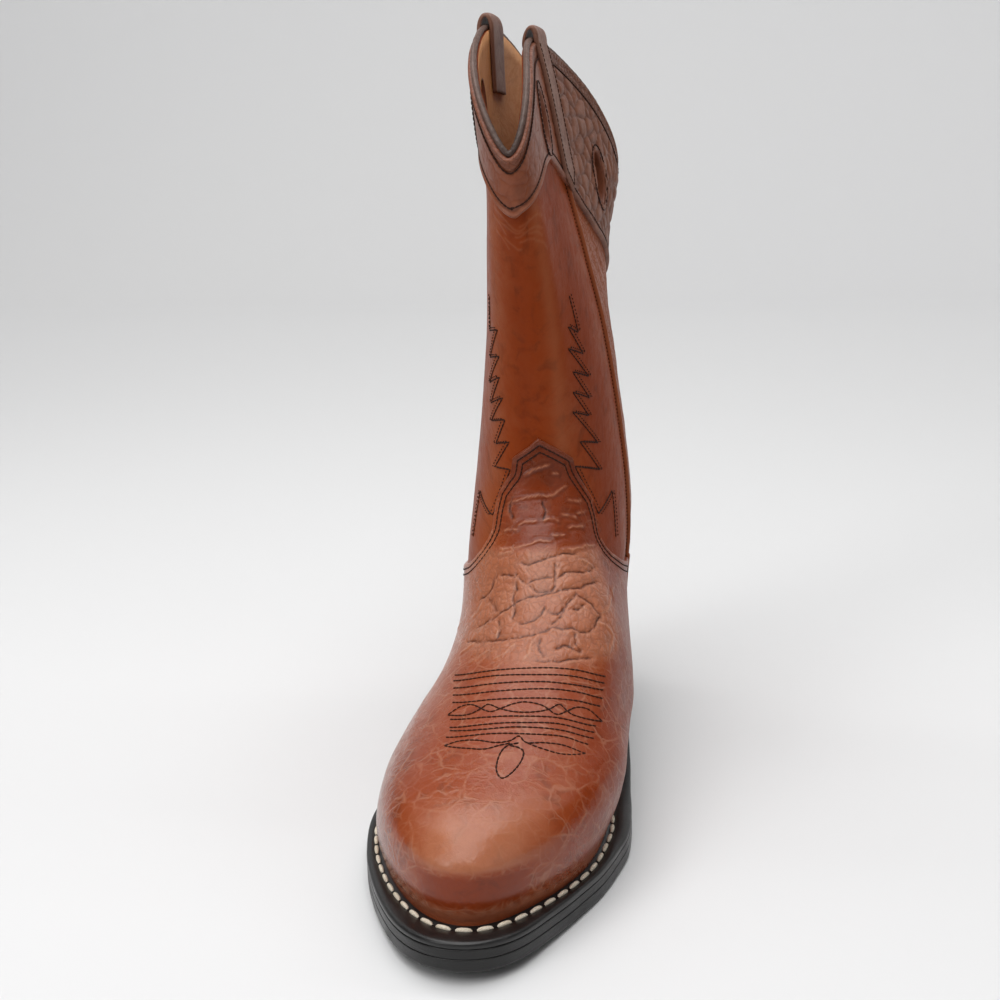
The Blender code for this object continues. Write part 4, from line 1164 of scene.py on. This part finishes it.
def heel_body(name, rows, look):
    """A block of the heel from rows of (height, inset), closed below and above."""
    rings = [heel_line(height, inset) for height, inset in rows]
    size = len(rings[0])
    faces = [grid_faces(len(rings), size, around=True)]
    points = np.concatenate(rings + [rings[0].mean(0)[None], rings[-1].mean(0)[None]])
    j = np.arange(size)
    low, high = np.full(size, len(points) - 2), np.full(size, len(points) - 1)
    top = (len(rings) - 1) * size
    faces.append(np.stack([(j + 1) % size, j, low, low], 1))
    faces.append(np.stack([top + j, top + (j + 1) % size, high, high], 1))
    piece(name + "_block", points, np.concatenate(faces), [look], name)


HEEL_LAYERS = 5
heel_low = TOP_LIFT + GAP
heel_layer = (HEEL_RISE - TOP_LIFT - 2 * GAP) / HEEL_LAYERS
heel_rows = [(heel_low, 0.3)]
for step in range(HEEL_LAYERS):
    low, high = (heel_low + heel_layer * end for end in (step, step + 1))
    heel_rows += [(low + 0.15, 0.22), (low + 0.4, 0.02), ((low + high) / 2, 0.0), (high - 0.4, 0.02),
                  (high - 0.15, 0.22)]
heel_rows.append((HEEL_RISE - GAP + 0.2, 0.3))
heel_body("heel", heel_rows, "heel_black")
heel_body("top_lift", [(0.0, 1.2), (0.25, 0.5), (0.9, 0.05), (3, 0.0), (TOP_LIFT - 0.4, 0.05), (TOP_LIFT, 0.3)],
          "lift_rubber")


# ---------------------------------------------------------------- stitching
def stitches(name, paths, look, slot, pitch, length, radius, sides, sink=0.5):
    """One joined mesh of stitches along paths of (points, normals), each bent down at its ends."""
    steps = np.array([0, 0.12, 0.35, 0.65, 0.88, 1.0])
    thick = np.array([0.35, 0.8, 1, 1, 0.8, 0.35])
    bend = circle(sides)
    block = grid_faces(len(steps), sides, around=True)[:, ::-1]
    each = len(steps) * sides
    parts, faces, start = [], [], 0
    for points, normals in paths:
        run = lengths(points, 0)
        count = int(run[-1] / pitch)
        if count < 1:
            continue
        begin = (np.arange(count) + 0.5) * run[-1] / count - length / 2
        at = (begin[:, None] + steps * length).clip(0, run[-1])
        middle, normal = (np.stack([np.interp(at, run, values[:, i]) for i in range(3)], -1)
                          for values in (points, normals))
        normal = unit(normal)
        ahead = middle[:, -1] - middle[:, 0]
        ahead = ahead / np.maximum(np.linalg.norm(ahead, axis=-1, keepdims=True), 1e-6)
        side = np.cross(normal, ahead[:, None])
        middle = middle - normal * (radius * sink * (1 - thick) * 2)[:, None]
        ring = side[:, :, None] * np.cos(bend)[:, None] + normal[:, :, None] * np.sin(bend)[:, None]
        body = middle[:, :, None] + ring * (radius * thick)[:, None, None]
        faces.append((block[None] + (np.arange(count) * each)[:, None, None]).reshape(-1, 4) + start)
        parts.append(body.reshape(-1, 3))
        start += count * each
    piece(name, np.concatenate(parts), np.concatenate(faces), [look], None, slot)


def inset(edge, by):
    """A row of stitches beside a cut edge, without the knots that its corners would make."""
    row = shifted(edge, -by)
    line = trail(edge, 0.0, 0.4, curved=False)[2]
    return row[near_line(skin(row[:, 0], row[:, 1]), line) > 0.95 * abs(by)]


def path(stops, off, curved=False):
    """Places and normals for stitches; those on the shaft itself follow its waves."""
    turn, level, points, normals = trail(stops, off, 0.4, curved)
    if off < GAP:
        points = skin(turn, level, off + shaft_waves(turn, level))
    return points, normals


ZIGZAG_MEDIAL = [
    (8.3, 1.53), (8.72, 1.44), (6.88, 1.472), (9.04, 1.388), (6.32, 1.424), (9.5, 1.332), (6.64, 1.364),
    (9.12, 1.284), (6.32, 1.316), (8.64, 1.244), (6, 1.268), (9.6, 1.176), (6.8, 1.188), (9.36, 1.112),
    (5.76, 1.128), (8.24, 1.004), (11.04, 1.06), (11.12, .876),
]
ZIGZAG_LATERAL = [
    (-7.6, 1.53), (-7.9, 1.445), (-5.4, 1.476), (-7.6, 1.385), (-5.15, 1.412), (-7.5, 1.325), (-5.05, 1.36),
    (-6.9, 1.28), (-4.4, 1.312), (-6.8, 1.236), (-4, 1.256), (-5.6, 1.184), (-3.2, 1.2), (-5.5, 1.124),
    (-2.95, 1.124), (-5.05, .992), (-8.3, 1.056), (-8.4, .88),
]
TOE_LINES = [
    [(-5.92, .448), (-2.48, .492), (.48, .508), (2.88, .5), (5.44, .468)],
    [(-5.76, .436), (-2.32, .48), (.64, .492), (2.96, .484), (5.44, .452)],
    [(-5.36, .424), (-2, .464), (.8, .476), (3.12, .464), (5.44, .436)],
    [(-5.04, .412), (-1.76, .448), (1.04, .46), (3.28, .448), (5.52, .416)],
    [(-4.72, .4), (-1.52, .432), (1.2, .44), (3.44, .428), (5.44, .4)],
    [(-4.16, .372), (-1.6, .396), (.56, .404), (2.88, .396), (5.44, .36)],
    [(-3.84, .36), (-1.36, .384), (.72, .392), (3.04, .384), (5.44, .348)],
    [(-3.68, .356), (-1.2, .376), (.88, .384), (3.2, .372), (5.52, .336)],
    [(-3.68, .344), (-1.04, .368), (1.04, .372), (3.36, .36), (5.28, .328)],
    [(-4.56, .376), (-3.84, .4), (-2.96, .412), (-1.84, .408), (-1.36, .408), (-.88, .416)],
    [(-4.56, .376), (-2.96, .392), (-2.24, .408), (-1.84, .42), (-.96, .416), (.08, .412), (1.28, .412),
     (2.08, .416), (2.56, .424), (3.2, .408), (3.76, .396), (5.84, .364)],
    [(-.88, .416), (-.16, .428), (.56, .432), (1.6, .424), (2.64, .404), (3.2, .408), (3.76, .412), (4.64, .4),
     (5.84, .364)],
    [(-3.44, .332), (-2.48, .348), (-1.36, .356), (-.16, .356), (.64, .36), (1.04, .368), (1.6, .356),
     (2.64, .352), (3.84, .34), (5.28, .312)],
    [(-3.44, .332), (-1.84, .34), (-.64, .344), (.16, .352), (.72, .356)],
    [(1.6, .356), (2.8, .34), (4, .324), (5.28, .312)],
    [(1.2, .356), (.64, .352), (.4, .34), (.48, .32), (.72, .308), (1.12, .3), (1.52, .308), (1.76, .324),
     (1.68, .34), (1.28, .348), (.72, .352)],
]


ON_PANEL, ON_SHAFT, ON_HOLE = FACE + 0.08, 0.1, FACE + 0.5  # heights of the threads off the skin
ON_STRAP = 2 * GAP + OVERLAY + STRAP_THICK + 0.02
EDGE_ROWS_IN, COLLAR_ROW_IN, RIM_ROW_DOWN, HOLE_ROW_OUT = (2.4, 4.8), 3.2, 7.0, 2.6
FRONT_ENDS, BACK_ENDS = (-15.4, 15.4), (16.6, 47.4)  # turns where rows beside an edge begin and end


def make_stitching():
    solid, dotted = [], []
    for line, out in ((ZIGZAG_MEDIAL, 0.5), (ZIGZAG_LATERAL, -0.5)):
        solid.append(path(line, ON_SHAFT))
        dotted.append(path([(t + out, v) for t, v in line], ON_SHAFT))
    solid += [path(line, ON_PANEL, True) for line in TOE_LINES]
    turn = np.linspace(*FRONT_ENDS, 220)
    vamp_edge = np.stack([turn, edge_level(VAMP_EDGE, turn)], 1)
    turn = np.linspace(*BACK_ENDS, 160)
    counter_edge = np.stack([turn, smooth(COUNTER_EDGE, "turn", "level", turn)], 1)
    solid += [path(inset(edge, by), ON_PANEL) for edge in (vamp_edge, counter_edge) for by in EDGE_ROWS_IN]
    for ends in (FRONT_ENDS, BACK_ENDS):
        turn = np.linspace(*ends, 160)
        low = np.stack([turn, edge_level(COLLAR_EDGE, turn)], 1)
        solid.append(path(inset(low, -COLLAR_ROW_IN), ON_PANEL))
        high = np.stack([turn, 2 - RIM_ROW_DOWN / (rim(turn / TURNS) - ANKLE_HEIGHT)], 1)
        solid.append(path(high, ON_PANEL))
    for hole in HOLES:
        ring = np.stack(hole.ring(HOLE_ROW_OUT), 1)
        solid.append(path(np.concatenate([ring, ring[:1]]), ON_HOLE))
    for seam, sign in ((16, 1), (48, -1)):
        for side in (-0.8 * STRAP_FRONT, 0.8 * STRAP_BACK):
            turn = seam + sign * side
            line = [(seam, STRAP_TIP + 0.012), (turn, STRAP_TIP + 0.045), (turn, 1.995)]
            solid.append(path(line, ON_STRAP))
        for side in (-0.42, 0.42):
            dotted.append(path([(seam + side, 1.72), (seam + side, 0.72)], ON_SHAFT))
    for label, group, pitch, length, radius in (("stitch_rows", solid, 2.1, 2.25, 0.36),
                                                ("stitch_dots", dotted, 1.7, 0.95, 0.27)):
        stitches(label, group, "thread_brown", "vamp_leather", pitch, length, radius, sides=5)


make_stitching()


def make_welt_stitches():
    line, side, _ = welt_line(WELT_END + 6)
    run = line + side * GROOVE_AT
    run[:, 2] = seat(run[:, 0]) + WELT - 0.15
    up = np.broadcast_to((0.0, 0.0, 1.0), run.shape)
    stitches("welt_stitches", [(run, up)], "thread_cream", "welt_black", 7.5, 6.0, 0.85, sides=12, sink=0.35)


make_welt_stitches()


def make_piping():
    """The raised seam between front and back panels, from the strap down to the sole."""
    for name, seam in (("side_piping_medial", 16.0), ("side_piping_lateral", 48.0)):
        level = np.linspace(1.74, 0.01, 300)
        turn = np.full(len(level), seam)
        points = skin(turn, level, 0.5 + 0.8 * fall(level, 0.7, 0.02))
        tube(name, points, outward(turn / TURNS, level), 1.2, 10, "shaft_leather", cell=0.2, shade=0.15, worn=0.35)


make_piping()


def insole_material():
    nodes = Nodes("insole_board")
    at = nodes.scaled(nodes.add("TexCoord")["Object"], (1000.0, 1000.0, 1000.0))
    soil = nodes.ranged(nodes.noise(at, 18.0, 4.0), 0.3, 0.75)
    tone = nodes.mixed(soil, (0.5, 0.33, 0.17), (0.36, 0.22, 0.11))
    return nodes.surface({"Base Color": tone, "Roughness": 0.7}, nodes.times(nodes.noise(at, 0.8, 4.0), 0.12))


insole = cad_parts["insole"]
insole.data.materials.clear()
insole.data.materials.append(insole_material())


# ---------------------------------------------------------------- studio
def link(name, data):
    made = bpy.data.objects.new(name, data)
    bpy.context.scene.collection.objects.link(made)
    return made


FLOOR_FRONT, FLOOR_BACK, WALL_TOP, HALF_WIDE, BEND = -4.0, 2.0, 4.0, 4.0, 0.9  # metres


def make_backdrop():
    nodes = Nodes("backdrop_pale")
    soft = nodes.ranged(nodes.noise(nodes.add("TexCoord")["Object"], 3.0, 1.0), 0.3, 0.7)
    tone = nodes.mixed(soft, (0.74, 0.74, 0.74), (0.725, 0.725, 0.73))
    look = nodes.surface({"Base Color": tone, "Roughness": 0.8, "Specular IOR Level": 0.2})
    bend = np.linspace(0, np.pi / 2, 24)
    y = np.concatenate([[FLOOR_FRONT], FLOOR_BACK + BEND * np.sin(bend), [FLOOR_BACK + BEND]])
    z = np.concatenate([[0.0], BEND - BEND * np.cos(bend), [WALL_TOP]])
    points = [(x, b, c) for b, c in zip(y, z) for x in (-HALF_WIDE, HALF_WIDE)]
    faces = [(2 * i, 2 * i + 1, 2 * i + 3, 2 * i + 2) for i in range(len(y) - 1)]
    mesh = bpy.data.meshes.new("backdrop")
    mesh.from_pydata(points, [], faces)
    mesh.polygons.foreach_set("use_smooth", np.ones(len(faces), bool))
    mesh.materials.append(look)
    made = link("backdrop", mesh)


make_backdrop()
LIGHTS = (
    # name, place, aim, width, height, watts
    ("soft_top", (-0.12, -0.45, 1.3), (-0.12, -0.45, 0.0), 1.2, 1.7, 21.0),
    ("soft_left", (-1.3, -1.5, 1.15), (0, 0, 0.15), 0.7, 1.1, 9.0),
    ("soft_right", (1.7, -1.1, 0.9), (0, 0, 0.15), 1.4, 1.4, 3.0),
    ("wash", (0.0, 1.0, 2.6), (0, 2.9, 1.0), 8.0, 0.6, 98.0),
)
for name, at, to, wide, tall, power in LIGHTS:
    lamp = bpy.data.lights.new(name, "AREA")
    lamp.energy, lamp.shape, lamp.size, lamp.size_y = power, "RECTANGLE", wide, tall
    made = link(name, lamp)
    made.location = at
    made.rotation_euler = (Vector(to) - Vector(at)).to_track_quat("-Z", "Y").to_euler()
    made.visible_camera = False
world = bpy.data.worlds.new("studio")
bpy.context.scene.world = world
world.use_nodes = True
background = world.node_tree.nodes["Background"].inputs
background["Color"].default_value = (1.0, 1.0, 1.0, 1.0)
background["Strength"].default_value = 0.08
bpy.context.scene.view_settings.view_transform = "Standard"

# The camera stands where the photo was taken from and is turned so that the one boot fills the frame.
FOCUS, FRAME = 1295.0, 1000  # focal length and frame width in pixels
AIM_RIGHT, AIM_UP = -150, 10  # the frame's middle from the photo's, in pixels
SENSOR = 36.0
CAMERA_AT = (663, 90, 268)  # along, across and height
forward = Vector((-0.0664, 0.9635, -0.2593)).normalized()
right = Vector((0.9976, 0.0687, 0.0)).normalized()
upward = right.cross(forward)
camera_data = bpy.data.cameras.new("camera")
camera_data.sensor_width = SENSOR
camera_data.lens = SENSOR * FOCUS / FRAME
camera = link("camera", camera_data)
aim = (forward + right * (AIM_RIGHT / FOCUS) + upward * (AIM_UP / FOCUS)).normalized()
basis = Matrix((right, upward, -forward)).transposed()
turned = forward.rotation_difference(aim).to_matrix() @ basis
camera.matrix_world = Matrix.Translation(place(CAMERA_AT)[0].tolist()) @ turned.to_4x4()
bpy.context.scene.camera = camera
